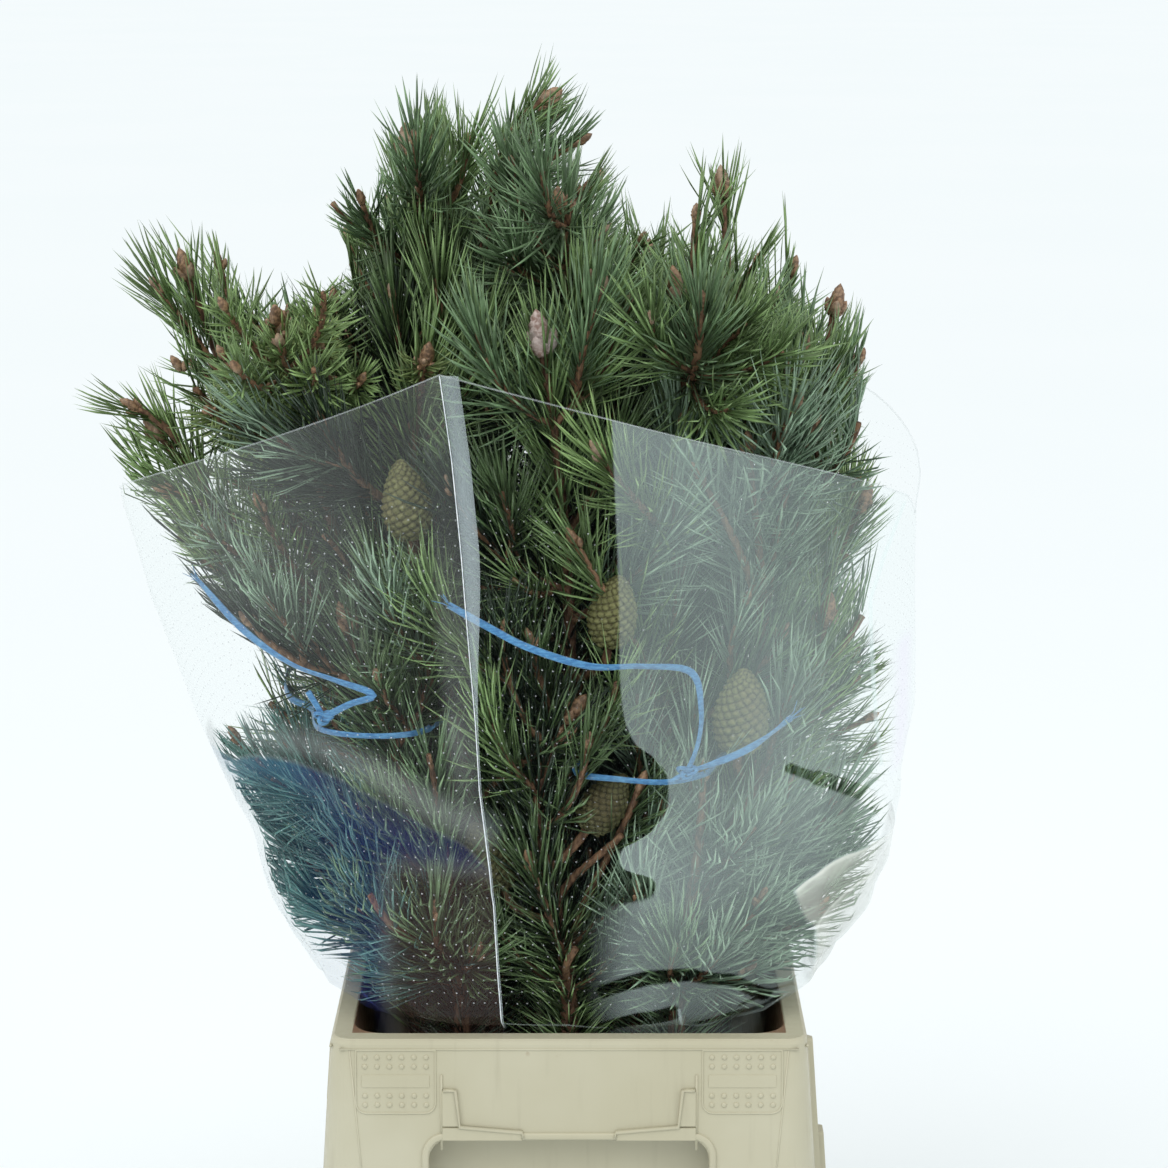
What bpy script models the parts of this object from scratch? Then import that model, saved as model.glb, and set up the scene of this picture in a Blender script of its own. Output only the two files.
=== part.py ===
"""Cut branches of mugo pine with their cones, bunched with twine in a clear film sleeve, in a bucket.

Metres, +Z up, +Y away from the front. The origin is the centre of the bucket's flat underside.
"""
import math
import random

import bmesh
import bpy
import numpy as np
from mathutils import Vector

# Driving sizes of the bucket
BUCKET_HEIGHT = 0.370
RIM_HALF = (0.1395, 0.1925)
MOUTH_HALF = (0.1265, 0.1795)
BASE_HALF = (0.105, 0.155)
BUCKET_WALL = 0.003
BUCKET_FLOOR = 0.004
COLLAR_DROP = 0.120
COLLAR_FLARE = 0.0085
RIM_CORNER = 0.012
COLLAR_CORNER = 0.024
BODY_CORNER = 0.020
CORNER_STEPS = 4
ARCH_HALF = (0.082, 0.070)
ARCH_TOP = 0.310
ARCH_CORNER = 0.012

# Driving sizes of the film sleeve: height, half width, half depth, middle in X, squareness
FILM_STATIONS = (
    (0.300, 0.1215, 0.1735, 0.000, 4.0),
    (0.370, 0.1240, 0.1765, 0.000, 4.0),
    (0.385, 0.1410, 0.1860, 0.000, 3.4),
    (0.400, 0.1520, 0.1880, 0.000, 3.1),
    (0.440, 0.1850, 0.1910, 0.000, 2.7),
    (0.480, 0.2080, 0.1940, -0.002, 2.5),
    (0.530, 0.2250, 0.1970, -0.009, 2.3),
    (0.600, 0.2385, 0.2010, -0.023, 2.2),
    (0.660, 0.2465, 0.2040, -0.031, 2.2),
    (0.765, 0.2600, 0.2090, -0.031, 2.2),
)
FILM_THICK = 0.001
FILM_AROUND = 24
FILM_RISE = (0.0, 0.05, 0.17, 0.34, 0.54, 0.77, 1.0)
FILM_SIDE_TOP = 0.655
FILM_PEAK = 0.108
FILM_SEAM = math.radians(-101.0)
FILM_DROP = {"left": 1.35, "right": 0.80}

# Driving sizes of the branches and their shoots
GAP = 0.0003
STEM_FOOT = 0.0065
STEM_TOP = 0.0048
TWIG_TIP = 0.0026
ENTRY_HEIGHT = 0.400
STRAIGHT = 0.005
FOOT_SPREAD = 0.78
CORE_RADIUS = 0.0048
BAND = 0.0235
BUD_LENGTH = 0.014
NEEDLE_LENGTH = (0.040, 0.052)
NEEDLE_ANGLE = math.radians(36.0)
LEADER = 0.170
SHOOTS_EACH = 5
SHOOT_LENGTH = (0.140, 0.085)
SHOOT_CLEAR = 0.040
SHOOT_TRIES = 60
SEED = 11

# Room that a side shoot keeps: from film, skyline, cones and twine, over the rim, and its tip from its branch
SHOOT_ROOM = {"film": 0.012, "skyline": 0.016, "cone": 0.008, "twine": 0.010, "rim": 0.015, "tip": 0.028}
CLOUD_STEP = 0.006
ROOT_POINTS = 4

# Room that a needle spray keeps: from rival shoots, film, cones and twine, and its depth below the rim
SPRAY_ROOM = {"rival": 0.0045, "film": 0.0045, "cone": 0.0015, "twine": 0.0028, "rim": 0.010}
SHORTEST_SPRAY = 0.40
EDGE_MARGIN = 0.016
RIVAL_REACH = 0.12

# Branches: neck at the rim, tip of the leading bud, and how far the tip leans per unit of height
BRANCHES = (
    ((-0.095, -0.085), (-0.169, -0.100, 0.775), (-0.15, -0.70)),
    ((-0.045, -0.095), (-0.083, -0.130, 0.755), (0.20, -0.35)),
    ((0.000, -0.100), (-0.015, -0.155, 0.770), (-0.15, -0.30)),
    ((0.040, -0.090), (0.062, -0.120, 0.797), (-0.15, -0.25)),
    ((0.090, -0.075), (0.141, -0.060, 0.750), (-0.10, -0.25)),
    ((-0.085, 0.015), (-0.234, 0.000, 0.794), (-0.30, 0.00)),
    ((-0.100, -0.030), (-0.250, -0.030, 0.700), (-0.70, -0.10)),
    ((-0.040, 0.000), (-0.101, 0.020, 0.868), (0.00, 0.00)),
    ((-0.005, -0.045), (-0.006, -0.050, 0.836), (-0.05, -0.20)),
    ((0.000, 0.020), (-0.015, 0.050, 0.890), (0.70, 0.00)),
    ((0.045, 0.025), (0.096, 0.060, 0.839), (-0.10, 0.10)),
    ((0.080, 0.035), (0.165, 0.030, 0.768), (0.20, 0.00)),
    ((0.100, -0.020), (0.180, 0.000, 0.648), (0.45, -0.10)),
    ((-0.075, 0.070), (-0.180, 0.120, 0.745), (-0.30, 0.30)),
    ((-0.030, 0.080), (-0.060, 0.150, 0.800), (-0.10, 0.35)),
    ((0.025, 0.085), (0.050, 0.140, 0.785), (0.10, 0.35)),
    ((0.070, 0.080), (0.145, 0.120, 0.725), (0.30, 0.30)),
    ((-0.065, -0.130), (-0.130, -0.125, 0.600), (-0.30, -0.10)),
    ((0.000, -0.140), (0.000, -0.165, 0.556), (0.70, -0.10)),
    ((0.065, -0.130), (0.152, -0.104, 0.600), (0.20, 0.00)),
    ((0.000, 0.130), (0.000, 0.160, 0.600), (0.10, 0.05)),
)

# Skyline of the crown seen from the front: X, and the highest needle there, with depth seen from above
SKYLINE = (
    (-0.305, 0.700), (-0.295, 0.765), (-0.277, 0.828), (-0.225, 0.836), (-0.205, 0.806),
    (-0.152, 0.806), (-0.145, 0.858), (-0.120, 0.888), (-0.080, 0.908), (-0.055, 0.892),
    (-0.030, 0.905), (-0.010, 0.928), (0.020, 0.908), (0.040, 0.876), (0.048, 0.836),
    (0.062, 0.858), (0.100, 0.870), (0.130, 0.842), (0.140, 0.802), (0.172, 0.794),
    (0.188, 0.745), (0.195, 0.700), (0.216, 0.655),
)
SIGHT_DROP = 0.21

# Cones: branch that bears it, middle, the way it points, length, and half width
CONES = (
    (1, (-0.094, -0.150, 0.683), (-0.10, -0.20, 1.00), 0.048, 0.0145),
    (2, (0.026, -0.152, 0.618), (0.15, -0.25, 1.00), 0.044, 0.0145),
    (18, (0.022, -0.160, 0.505), (0.60, -0.10, 0.90), 0.040, 0.0135),
    (4, (0.101, -0.142, 0.556), (0.05, -0.20, 1.00), 0.052, 0.0165),
    (18, (-0.048, -0.152, 0.470), (-0.45, -0.10, 1.00), 0.044, 0.0145),
    (14, (-0.075, 0.165, 0.660), (-0.20, 0.30, 1.00), 0.046, 0.0150),
    (16, (0.120, 0.142, 0.610), (0.10, 0.35, 1.00), 0.048, 0.0150),
)
CONE_AROUND = 8
CONE_RINGS = 7
CONE_STALK = 0.0028

# Twine ties: the loop round a bunch, and the tails as places seen from the front, in X and Z
TWINE_RADIUS = 0.0018
LOOP_POINTS = 20
TIES = {
    "twine_left": {
        "middle": (-0.118, -0.052, 0.553), "half": (0.096, 0.118), "tilt": 0.05,
        "knot": (-0.142, 0.557), "inset": 0.0075,
        "tails": (((-0.142, 0.557), (-0.126, 0.567), (-0.112, 0.574), (-0.135, 0.581),
                   (-0.161, 0.588), (-0.190, 0.605), (-0.218, 0.631)),),
    },
    "twine_right": {
        "middle": (0.058, -0.085, 0.527), "half": (0.092, 0.098), "tilt": 0.04,
        "knot": (0.068, 0.529), "inset": 0.0060,
        "tails": (((0.068, 0.529), (0.074, 0.545), (0.076, 0.565), (0.070, 0.588),
                   (0.042, 0.593), (0.012, 0.594), (-0.022, 0.605), (-0.045, 0.617), (-0.068, 0.630)),
                  ((0.068, 0.529), (0.090, 0.535), (0.108, 0.542), (0.129, 0.555))),
    },
}

COLOURS = {
    "bucket": ((0.60, 0.57, 0.44), 0.45),
    "film": ((0.70, 0.76, 0.78), 0.15),
    "twine": ((0.10, 0.33, 0.72), 0.50),
    "bark": ((0.16, 0.09, 0.05), 0.85),
    "needles": ((0.06, 0.13, 0.07), 0.55),
    "cone": ((0.24, 0.20, 0.09), 0.75),
}


def clear_scene():
    for thing in list(bpy.data.objects):
        bpy.data.objects.remove(thing, do_unlink=True)


def material(name):
    if name in bpy.data.materials:
        return bpy.data.materials[name]
    colour, rough = COLOURS[name]
    made = bpy.data.materials.new(name)
    made.use_nodes = True
    shader = made.node_tree.nodes["Principled BSDF"]
    shader.inputs["Base Color"].default_value = (*colour, 1.0)
    shader.inputs["Roughness"].default_value = rough
    shader.inputs["Metallic"].default_value = 0.0
    return made


def new_object(name, points, faces, finish):
    """An object whose faces all point out, made from points and faces."""
    mesh = bpy.data.meshes.new(name)
    mesh.from_pydata([tuple(p) for p in points], [], faces)
    shape = bmesh.new()
    shape.from_mesh(mesh)
    bmesh.ops.recalc_face_normals(shape, faces=shape.faces)
    bmesh.ops.triangulate(shape, faces=[f for f in shape.faces if len(f.verts) > 4])
    shape.to_mesh(mesh)
    shape.free()
    made = bpy.data.objects.new(name, mesh)
    made.data.materials.append(material(finish))
    bpy.context.collection.objects.link(made)
    return made


def blend(a, b, t):
    return a + (b - a) * t


def bridge(rings, closed=False):
    """Quads between rings of equal length, each ring given as a list of point numbers."""
    faces = []
    pairs = list(zip(rings, rings[1:])) + ([(rings[-1], rings[0])] if closed else [])
    for low, high in pairs:
        count = len(low)
        for i in range(count):
            j = (i + 1) % count
            faces.append((low[i], low[j], high[j], high[i]))
    return faces


def join_by_union(base, others):
    """Union the base with the other objects in one step, apply it and remove the others."""
    parts = bpy.data.collections.new(base.name + "_parts")
    bpy.context.scene.collection.children.link(parts)
    for other in others:
        bpy.context.collection.objects.unlink(other)
        parts.objects.link(other)
    union = base.modifiers.new("union", "BOOLEAN")
    union.operation = "UNION"
    union.operand_type = "COLLECTION"
    union.collection = parts
    union.solver = "MANIFOLD"
    apply_modifiers(base)
    for other in list(parts.objects):
        bpy.data.objects.remove(other, do_unlink=True)
    bpy.data.collections.remove(parts)
    keep_largest_piece(base)


def apply_modifiers(thing):
    depsgraph = bpy.context.evaluated_depsgraph_get()
    solid = bpy.data.meshes.new_from_object(thing.evaluated_get(depsgraph))
    thing.modifiers.clear()
    old = thing.data
    thing.data = solid
    bpy.data.meshes.remove(old)


def keep_largest_piece(thing):
    """Drop loose scraps, so that the object is one body."""
    shape = bmesh.new()
    shape.from_mesh(thing.data)
    left = set(shape.verts)
    pieces = []
    while left:
        stack = [left.pop()]
        piece = set(stack)
        while stack:
            for edge in stack.pop().link_edges:
                for vert in edge.verts:
                    if vert in left:
                        left.discard(vert)
                        piece.add(vert)
                        stack.append(vert)
        pieces.append(piece)
    pieces.sort(key=len)
    scraps = [vert for piece in pieces[:-1] for vert in piece]
    bmesh.ops.delete(shape, geom=scraps, context="VERTS")
    shape.to_mesh(thing.data)
    shape.free()


# Bucket

def rounded_ring(half_x, half_y, corner, height):
    """Points of a rectangle with round corners, anticlockwise seen from above."""
    points = []
    for quarter, (sx, sy) in enumerate(((1, 1), (-1, 1), (-1, -1), (1, -1))):
        for step in range(CORNER_STEPS + 1):
            angle = math.radians(90.0 * (quarter + step / CORNER_STEPS))
            x = sx * (half_x - corner) + corner * math.cos(angle)
            y = sy * (half_y - corner) + corner * math.sin(angle)
            points.append((x, y, height))
    return points


def inner_half(axis, height):
    """Half size of the bucket's inside at a height, along X for axis 0 and Y for axis 1."""
    return blend(BASE_HALF[axis] - BUCKET_WALL, MOUTH_HALF[axis], height / BUCKET_HEIGHT)


def build_bucket():
    groove_top = BUCKET_HEIGHT - 0.012
    collar_foot = BUCKET_HEIGHT - COLLAR_DROP
    rows = []

    def row(half_x, half_y, corner, height):
        rows.append(rounded_ring(half_x, half_y, corner, height))

    wall = BUCKET_WALL
    row(BASE_HALF[0], BASE_HALF[1], BODY_CORNER, 0.0)
    row(inner_half(0, groove_top) + wall, inner_half(1, groove_top) + wall, BODY_CORNER, groove_top)
    row(RIM_HALF[0] - wall, RIM_HALF[1] - wall, RIM_CORNER - 0.002, groove_top)
    flare = COLLAR_FLARE
    row(RIM_HALF[0] + flare - wall, RIM_HALF[1] + flare - wall, COLLAR_CORNER - wall, collar_foot)
    row(RIM_HALF[0] + flare, RIM_HALF[1] + flare, COLLAR_CORNER, collar_foot)
    row(RIM_HALF[0], RIM_HALF[1], RIM_CORNER, BUCKET_HEIGHT - 0.003)
    row(RIM_HALF[0] - 0.002, RIM_HALF[1] - 0.002, RIM_CORNER - 0.002, BUCKET_HEIGHT)
    row(MOUTH_HALF[0] + 0.001, MOUTH_HALF[1] + 0.001, BODY_CORNER, BUCKET_HEIGHT)
    row(MOUTH_HALF[0], MOUTH_HALF[1], BODY_CORNER, BUCKET_HEIGHT - 0.002)
    row(inner_half(0, BUCKET_FLOOR), inner_half(1, BUCKET_FLOOR), BODY_CORNER, BUCKET_FLOOR)
    count = len(rows[0])
    rings = [list(range(k * count, (k + 1) * count)) for k in range(len(rows))]
    faces = bridge(rings)
    faces.append(tuple(reversed(rings[0])))
    faces.append(tuple(rings[-1]))
    bucket = new_object("bucket", [p for r in rows for p in r], faces, "bucket")
    cutter = arch_cutters(collar_foot)
    cut = bucket.modifiers.new("arches", "BOOLEAN")
    cut.operation = "DIFFERENCE"
    cut.object = cutter
    apply_modifiers(bucket)
    bpy.data.objects.remove(cutter, do_unlink=True)


def arch_cutters(collar_foot):
    """Four blocks with round upper corners, which leave an arch in the foot of each collar side."""
    points = []
    faces = []
    low = collar_foot - 0.010
    for axis in (0, 1):
        across = 1 - axis
        half = ARCH_HALF[across]
        near = inner_half(axis, ARCH_TOP) + BUCKET_WALL + 0.004
        far = RIM_HALF[axis] + COLLAR_FLARE + 0.010
        outline = [(-half, low), (half, low)]
        for side in (1, -1):
            for step in range(4):
                angle = math.radians(30.0 * step if side > 0 else 90.0 + 30.0 * step)
                outline.append((side * (half - ARCH_CORNER) + ARCH_CORNER * math.cos(angle),
                                ARCH_TOP - ARCH_CORNER + ARCH_CORNER * math.sin(angle)))
        for sign in (1, -1):
            rings = []
            for depth in (near, far):
                ring = []
                for along, height in outline:
                    place = [0.0, 0.0, height]
                    place[axis] = sign * depth
                    place[across] = along
                    ring.append(len(points))
                    points.append(tuple(place))
                rings.append(ring)
            faces += bridge(rings)
            faces.append(tuple(reversed(rings[0])))
            faces.append(tuple(rings[1]))
    cutter = new_object("arch_cutters", points, faces, "bucket")
    cutter.hide_render = True
    cutter.display_type = "WIRE"
    return cutter


# Film sleeve

FILM_TABLE = np.array(FILM_STATIONS)


def film_radius(angle, height):
    """Outer radius of the film and its middle in X, at an angle round it and a height."""
    half_x, half_y, middle, power = (np.interp(height, FILM_TABLE[:, 0], FILM_TABLE[:, k])
                                     for k in (1, 2, 3, 4))
    across = np.abs(np.cos(angle)) / half_x
    along = np.abs(np.sin(angle)) / half_y
    return (across ** power + along ** power) ** (-1.0 / power), middle


def film_top(angle):
    """Height of the film's upper edge: a peak at the front and back seams, lowest at the sides."""
    turn = (angle - FILM_SEAM + math.pi / 2) % math.pi - math.pi / 2
    front = np.cos(angle - FILM_SEAM) > 0
    leftward = np.where(front, turn < 0, turn > 0)
    drop = np.where(leftward, FILM_DROP["left"], FILM_DROP["right"])
    share = np.clip(1.0 - np.abs(turn) / (math.pi / 2), 0.0, 1.0)
    return FILM_SIDE_TOP + FILM_PEAK * share ** drop


def film_front(x, height, inset):
    """Y just inside the front of the film, at a place seen from the front."""
    half_x, half_y, middle, power = (np.interp(height, FILM_TABLE[:, 0], FILM_TABLE[:, k])
                                     for k in (1, 2, 3, 4))
    share = min(abs(x - middle) / half_x, 0.98)
    return -half_y * (1.0 - share ** power) ** (1.0 / power) + inset


def build_sleeve():
    heights = [lambda a: FILM_STATIONS[0][0], lambda a: FILM_STATIONS[1][0]]
    start = FILM_STATIONS[2][0]
    for rise in FILM_RISE:
        heights.append(lambda a, rise=rise: blend(start, float(film_top(a)), rise))
    points = []
    rings = []
    for inset, order in ((0.0, heights), (FILM_THICK, heights[::-1])):
        for height in order:
            ring = []
            for i in range(FILM_AROUND):
                angle = 2 * math.pi * i / FILM_AROUND
                z = height(angle)
                radius, middle = film_radius(angle, z)
                radius = float(radius) - inset
                ring.append(len(points))
                points.append((float(middle) + radius * math.cos(angle), radius * math.sin(angle), z))
            rings.append(ring)
    new_object("sleeve", points, bridge(rings, closed=True), "film")


# Paths and keep-out tests

def bezier(a, b, c, d, count):
    path = []
    for i in range(count + 1):
        t = i / count
        s = 1.0 - t
        path.append(a * s ** 3 + b * 3 * s * s * t + c * 3 * s * t * t + d * t ** 3)
    return path


def resample(path, spacing):
    """Even points along a path, with its two ends kept."""
    lengths = [0.0]
    for a, b in zip(path, path[1:]):
        lengths.append(lengths[-1] + (b - a).length)
    count = max(2, round(lengths[-1] / spacing))
    points = []
    k = 0
    for i in range(count + 1):
        want = lengths[-1] * i / count
        while k < len(path) - 2 and lengths[k + 1] < want:
            k += 1
        share = (want - lengths[k]) / max(lengths[k + 1] - lengths[k], 1e-9)
        points.append(path[k].lerp(path[k + 1], min(max(share, 0.0), 1.0)))
    return points


def branch_path(branch):
    """Foot, straight rise to the neck, then a curve to the tip."""
    (neck_x, neck_y), tip, (lean_x, lean_y) = branch
    neck = Vector((neck_x, neck_y, BUCKET_HEIGHT))
    foot = Vector((neck_x * FOOT_SPREAD, neck_y * FOOT_SPREAD, BUCKET_FLOOR + GAP))
    tip = Vector(tip)
    reach = (tip - neck).length
    start = (neck - foot).normalized()
    end = Vector((lean_x, lean_y, 1.0)).normalized()
    curve = bezier(neck, neck + start * 0.40 * reach, tip - end * 0.38 * reach, tip, 40)
    return foot, curve


def nearest(points, cloud):
    """Distance from each point to the nearest point of a cloud."""
    if len(cloud) == 0:
        return np.full(len(points), 1.0)
    gaps = points[:, None, :] - cloud[None, :, :]
    return np.sqrt((gaps ** 2).sum(axis=2)).min(axis=1)


def film_room(points):
    """How far inside the film each point is; large above the film's upper edge."""
    heights = points[:, 2]
    middle = np.interp(heights, FILM_TABLE[:, 0], FILM_TABLE[:, 3])
    x = points[:, 0] - middle
    y = points[:, 1]
    angle = np.arctan2(y, x)
    radius, _ = film_radius(angle, heights)
    room = radius - FILM_THICK - np.hypot(x, y)
    return np.where(heights > film_top(angle) + EDGE_MARGIN, 1.0, room)


def skyline_room(points):
    """How far under the crown's outline each point is."""
    places = np.array(SKYLINE)
    high = np.interp(points[:, 0], places[:, 0], places[:, 1], left=0.0, right=0.0)
    return high - points[:, 2] - SIGHT_DROP * points[:, 1]


def cone_ends(cone):
    _, middle, way, length, _ = cone
    way = Vector(way).normalized()
    return Vector(middle) - way * length / 2, Vector(middle) + way * length / 2, way


def cone_room(points):
    """How far outside every cone each point is."""
    room = np.full(len(points), 1.0)
    for cone in CONES:
        foot, top, _ = cone_ends(cone)
        a = np.array(foot)
        b = np.array(top)
        along = b - a
        share = np.clip(((points - a) @ along) / (along @ along), 0.0, 1.0)
        gaps = np.linalg.norm(points - a - share[:, None] * along, axis=1)
        room = np.minimum(room, gaps - cone[4])
    return room


def as_cloud(path, spacing=0.004):
    return np.array([tuple(p) for p in resample(path, spacing)])


def grow_shoots(curves, twine_cloud):
    """Side shoots of every branch: a seeded try is kept where it has room from all the others."""
    clouds = [as_cloud(curve, CLOUD_STEP) for curve in curves]
    grown = [[] for _ in curves]
    outer = [np.zeros((0, 3)) for _ in curves]
    rng = random.Random(SEED)
    for attempt in range(SHOOT_TRIES):
        for number, curve in enumerate(curves):
            if len(grown[number]) >= SHOOTS_EACH:
                continue
            shoot = try_shoot(rng, curve)
            cloud = as_cloud(shoot, CLOUD_STEP)
            far = cloud[ROOT_POINTS:]
            others = np.vstack([clouds[k] for k in range(len(curves)) if k != number])
            fits = (nearest(far, others).min() > SHOOT_CLEAR * 0.80
                    and nearest(far, np.vstack(outer)).min() > SHOOT_CLEAR
                    and film_room(cloud).min() > SHOOT_ROOM["film"]
                    and skyline_room(cloud).min() > SHOOT_ROOM["skyline"]
                    and cone_room(cloud).min() > SHOOT_ROOM["cone"]
                    and nearest(cloud, twine_cloud).min() > SHOOT_ROOM["twine"]
                    and cloud[:, 2].min() > BUCKET_HEIGHT + SHOOT_ROOM["rim"]
                    and nearest(cloud[-1:], clouds[number]).min() > SHOOT_ROOM["tip"])
            if fits:
                grown[number].append(shoot)
                outer[number] = np.vstack([outer[number], cloud[ROOT_POINTS - 1:]])
    return grown


def try_shoot(rng, curve):
    """A shoot that leaves the branch at a wide angle and turns up along it."""
    share = rng.uniform(0.16, 0.90)
    place = share * (len(curve) - 1)
    k = int(place)
    root = curve[k].lerp(curve[k + 1], place - k)
    axis = (curve[k + 1] - curve[k]).normalized()
    side = axis.orthogonal().normalized()
    turn = rng.uniform(0.0, 2 * math.pi)
    side = side * math.cos(turn) + axis.cross(side) * math.sin(turn)
    length = blend(SHOOT_LENGTH[0], SHOOT_LENGTH[1], share) * rng.uniform(0.85, 1.10)
    steps = 10
    path = [root]
    for i in range(steps):
        angle = math.radians(blend(62.0, 22.0, i / (steps - 1)))
        heading = axis * math.cos(angle) + side * math.sin(angle)
        path.append(path[-1] + heading.normalized() * length / steps)
    return path


# Tubes, shoots with needles, and cones

def frames(path):
    """A direction and a turning-free sideways vector at each point of a path."""
    result = []
    side = None
    for i in range(len(path)):
        ahead = path[min(i + 1, len(path) - 1)] - path[max(i - 1, 0)]
        ahead.normalize()
        if side is None:
            side = ahead.orthogonal()
        side = (side - ahead * side.dot(ahead)).normalized()
        result.append((ahead, side.copy()))
    return result


def tube(path, radii, sides, twist=0.0, point=None):
    """Points and faces of a closed tube; point, where given, is the far end's tip."""
    points = []
    rings = []
    for i, ((ahead, side), centre) in enumerate(zip(frames(path), path)):
        other = ahead.cross(side)
        ring = []
        for j in range(sides):
            angle = 2 * math.pi * j / sides + twist * i
            ring.append(len(points))
            points.append(centre + (side * math.cos(angle) + other * math.sin(angle)) * radii[i])
        rings.append(ring)
    faces = [tuple(reversed(rings[0]))]
    if point is None:
        faces.append(tuple(rings[-1]))
    else:
        points.append(point)
        tip = len(points) - 1
        faces += [(rings[-1][j], rings[-1][(j + 1) % sides], tip) for j in range(sides)]
    return points, rings, faces


def allowed_length(corners, root, way, length, own, rivals, twine_cloud):
    """How much of a needle spray stays in its shoot's own space, clear of film, cones and twine."""
    shares = np.linspace(0.10, 1.0, 10)
    starts = np.array([tuple(p) for p in [root] + corners])
    tip = starts[0] + np.array(tuple(way)) * length
    spots = (starts[:, None, :] + shares[None, :, None] * (tip - starts)[:, None, :]).reshape(-1, 3)
    free = nearest(spots, rivals) - nearest(spots, own) > SPRAY_ROOM["rival"]
    free &= film_room(spots) > SPRAY_ROOM["film"]
    free &= skyline_room(spots) > 0.0
    free &= cone_room(spots) > SPRAY_ROOM["cone"]
    free &= nearest(spots, twine_cloud) > TWINE_RADIUS + SPRAY_ROOM["twine"]
    free &= spots[:, 2] > BUCKET_HEIGHT - SPRAY_ROOM["rim"]
    free = free.reshape(len(starts), len(shares)).all(axis=0)
    if free.all():
        return length
    last = int(np.argmin(free)) - 1
    return length * shares[last] if last >= 0 else 0.0


def needle_tube(path, radii, sides, first, rng, rivals, twine_cloud):
    """A shoot: a slim core whose faces, from ring number first on, are drawn out to needle sprays."""
    ahead = (path[-1] - path[-2]).normalized()
    bud = path[-1] + ahead * BUD_LENGTH
    points, rings, faces = tube(path, radii, sides, twist=0.55, point=bud)
    own = as_cloud(path[max(first - 1, 0):], 0.005)
    rivals = rivals[nearest(rivals, own) < RIVAL_REACH]
    for i in range(len(rings) - 1):
        along = (path[i + 1] - path[i]).normalized()
        for j in range(sides):
            k = (j + 1) % sides
            for face in ((rings[i][j], rings[i][k], rings[i + 1][k]),
                         (rings[i][j], rings[i + 1][k], rings[i + 1][j])):
                middle = (points[face[0]] + points[face[1]] + points[face[2]]) / 3
                length = rng.uniform(*NEEDLE_LENGTH)
                if i < first:
                    faces.append(face)
                    continue
                centre = path[i].lerp(path[i + 1], 0.5)
                out = middle - centre
                out = (out - along * out.dot(along)).normalized()
                way = along * math.cos(NEEDLE_ANGLE) + out * math.sin(NEEDLE_ANGLE)
                corners = [points[index] for index in face]
                usable = allowed_length(corners, middle, way, length, own, rivals, twine_cloud)
                if usable < SHORTEST_SPRAY * length:
                    faces.append(face)
                    continue
                points.append(middle + way * usable)
                tip = len(points) - 1
                faces += [(face[0], face[1], tip), (face[1], face[2], tip), (face[2], face[0], tip)]
    return points, faces


def split_path(path, height):
    """Number of the first point of a path above a height."""
    return next(i for i, p in enumerate(path) if p.z > height)


def build_stem(name, foot, lower):
    path = [foot] + lower
    radii = [blend(STEM_FOOT, STEM_TOP, (p - foot).length / (path[-1] - foot).length) for p in path]
    points, rings, faces = tube(path, radii, 6)
    for number in rings[0]:
        points[number].z = foot.z
    faces += bridge(rings)
    new_object(name, points, faces, "bark")


def build_mass(number, entry, upper, shoots, clouds, twine_cloud, spurs):
    """One branch's foliage: its leader, its side shoots and the spurs that bear its cones."""
    rng = random.Random(SEED * 100 + number)
    name = f"foliage_{number + 1:02d}"
    total = sum((b - a).length for a, b in zip(upper, upper[1:]))
    leader = [entry] + resample(upper, BAND)
    bare = max(1, round((total - LEADER) / BAND))
    radii = []
    for i in range(len(leader)):
        share = i / (len(leader) - 1)
        radii.append(blend(STEM_TOP, TWIG_TIP, share) if i <= bare else blend(CORE_RADIUS, 0.0034, share))
    rivals = np.vstack([c for k, c in clouds.items() if k != (number, "main")])
    points, faces = needle_tube(leader, radii, 4, bare, rng, rivals, twine_cloud)
    base = new_object(name, points, faces, "needles")
    others = []
    for k, shoot in enumerate(shoots):
        path = resample(shoot, BAND)
        radii = [0.0020, 0.0026] + [CORE_RADIUS] * (len(path) - 3) + [0.0036]
        rivals = np.vstack([c for key, c in clouds.items() if key != (number, k)])
        points, faces = needle_tube(path, radii, 4, 1, rng, rivals, twine_cloud)
        others.append(new_object(f"{name}_shoot_{k}", points, faces, "needles"))
    for k, spur in enumerate(spurs):
        points, rings, faces = tube(spur, [0.0024] * len(spur), 5)
        faces += bridge(rings)
        others.append(new_object(f"{name}_spur_{k}", points, faces, "needles"))
    join_by_union(base, others)


def cone_spur(cone, curve):
    """A short twig from the branch to just under the cone's stalk."""
    foot, _, way = cone_ends(cone)
    end = foot - way * (0.006 + GAP)
    below = foot - way * 0.018
    root = min(curve, key=lambda p: (p - (below - Vector((0, 0, 0.012)))).length)
    bend = root.lerp(below, 0.6)
    return [root, bend, foot - way * 0.012, end]


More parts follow.
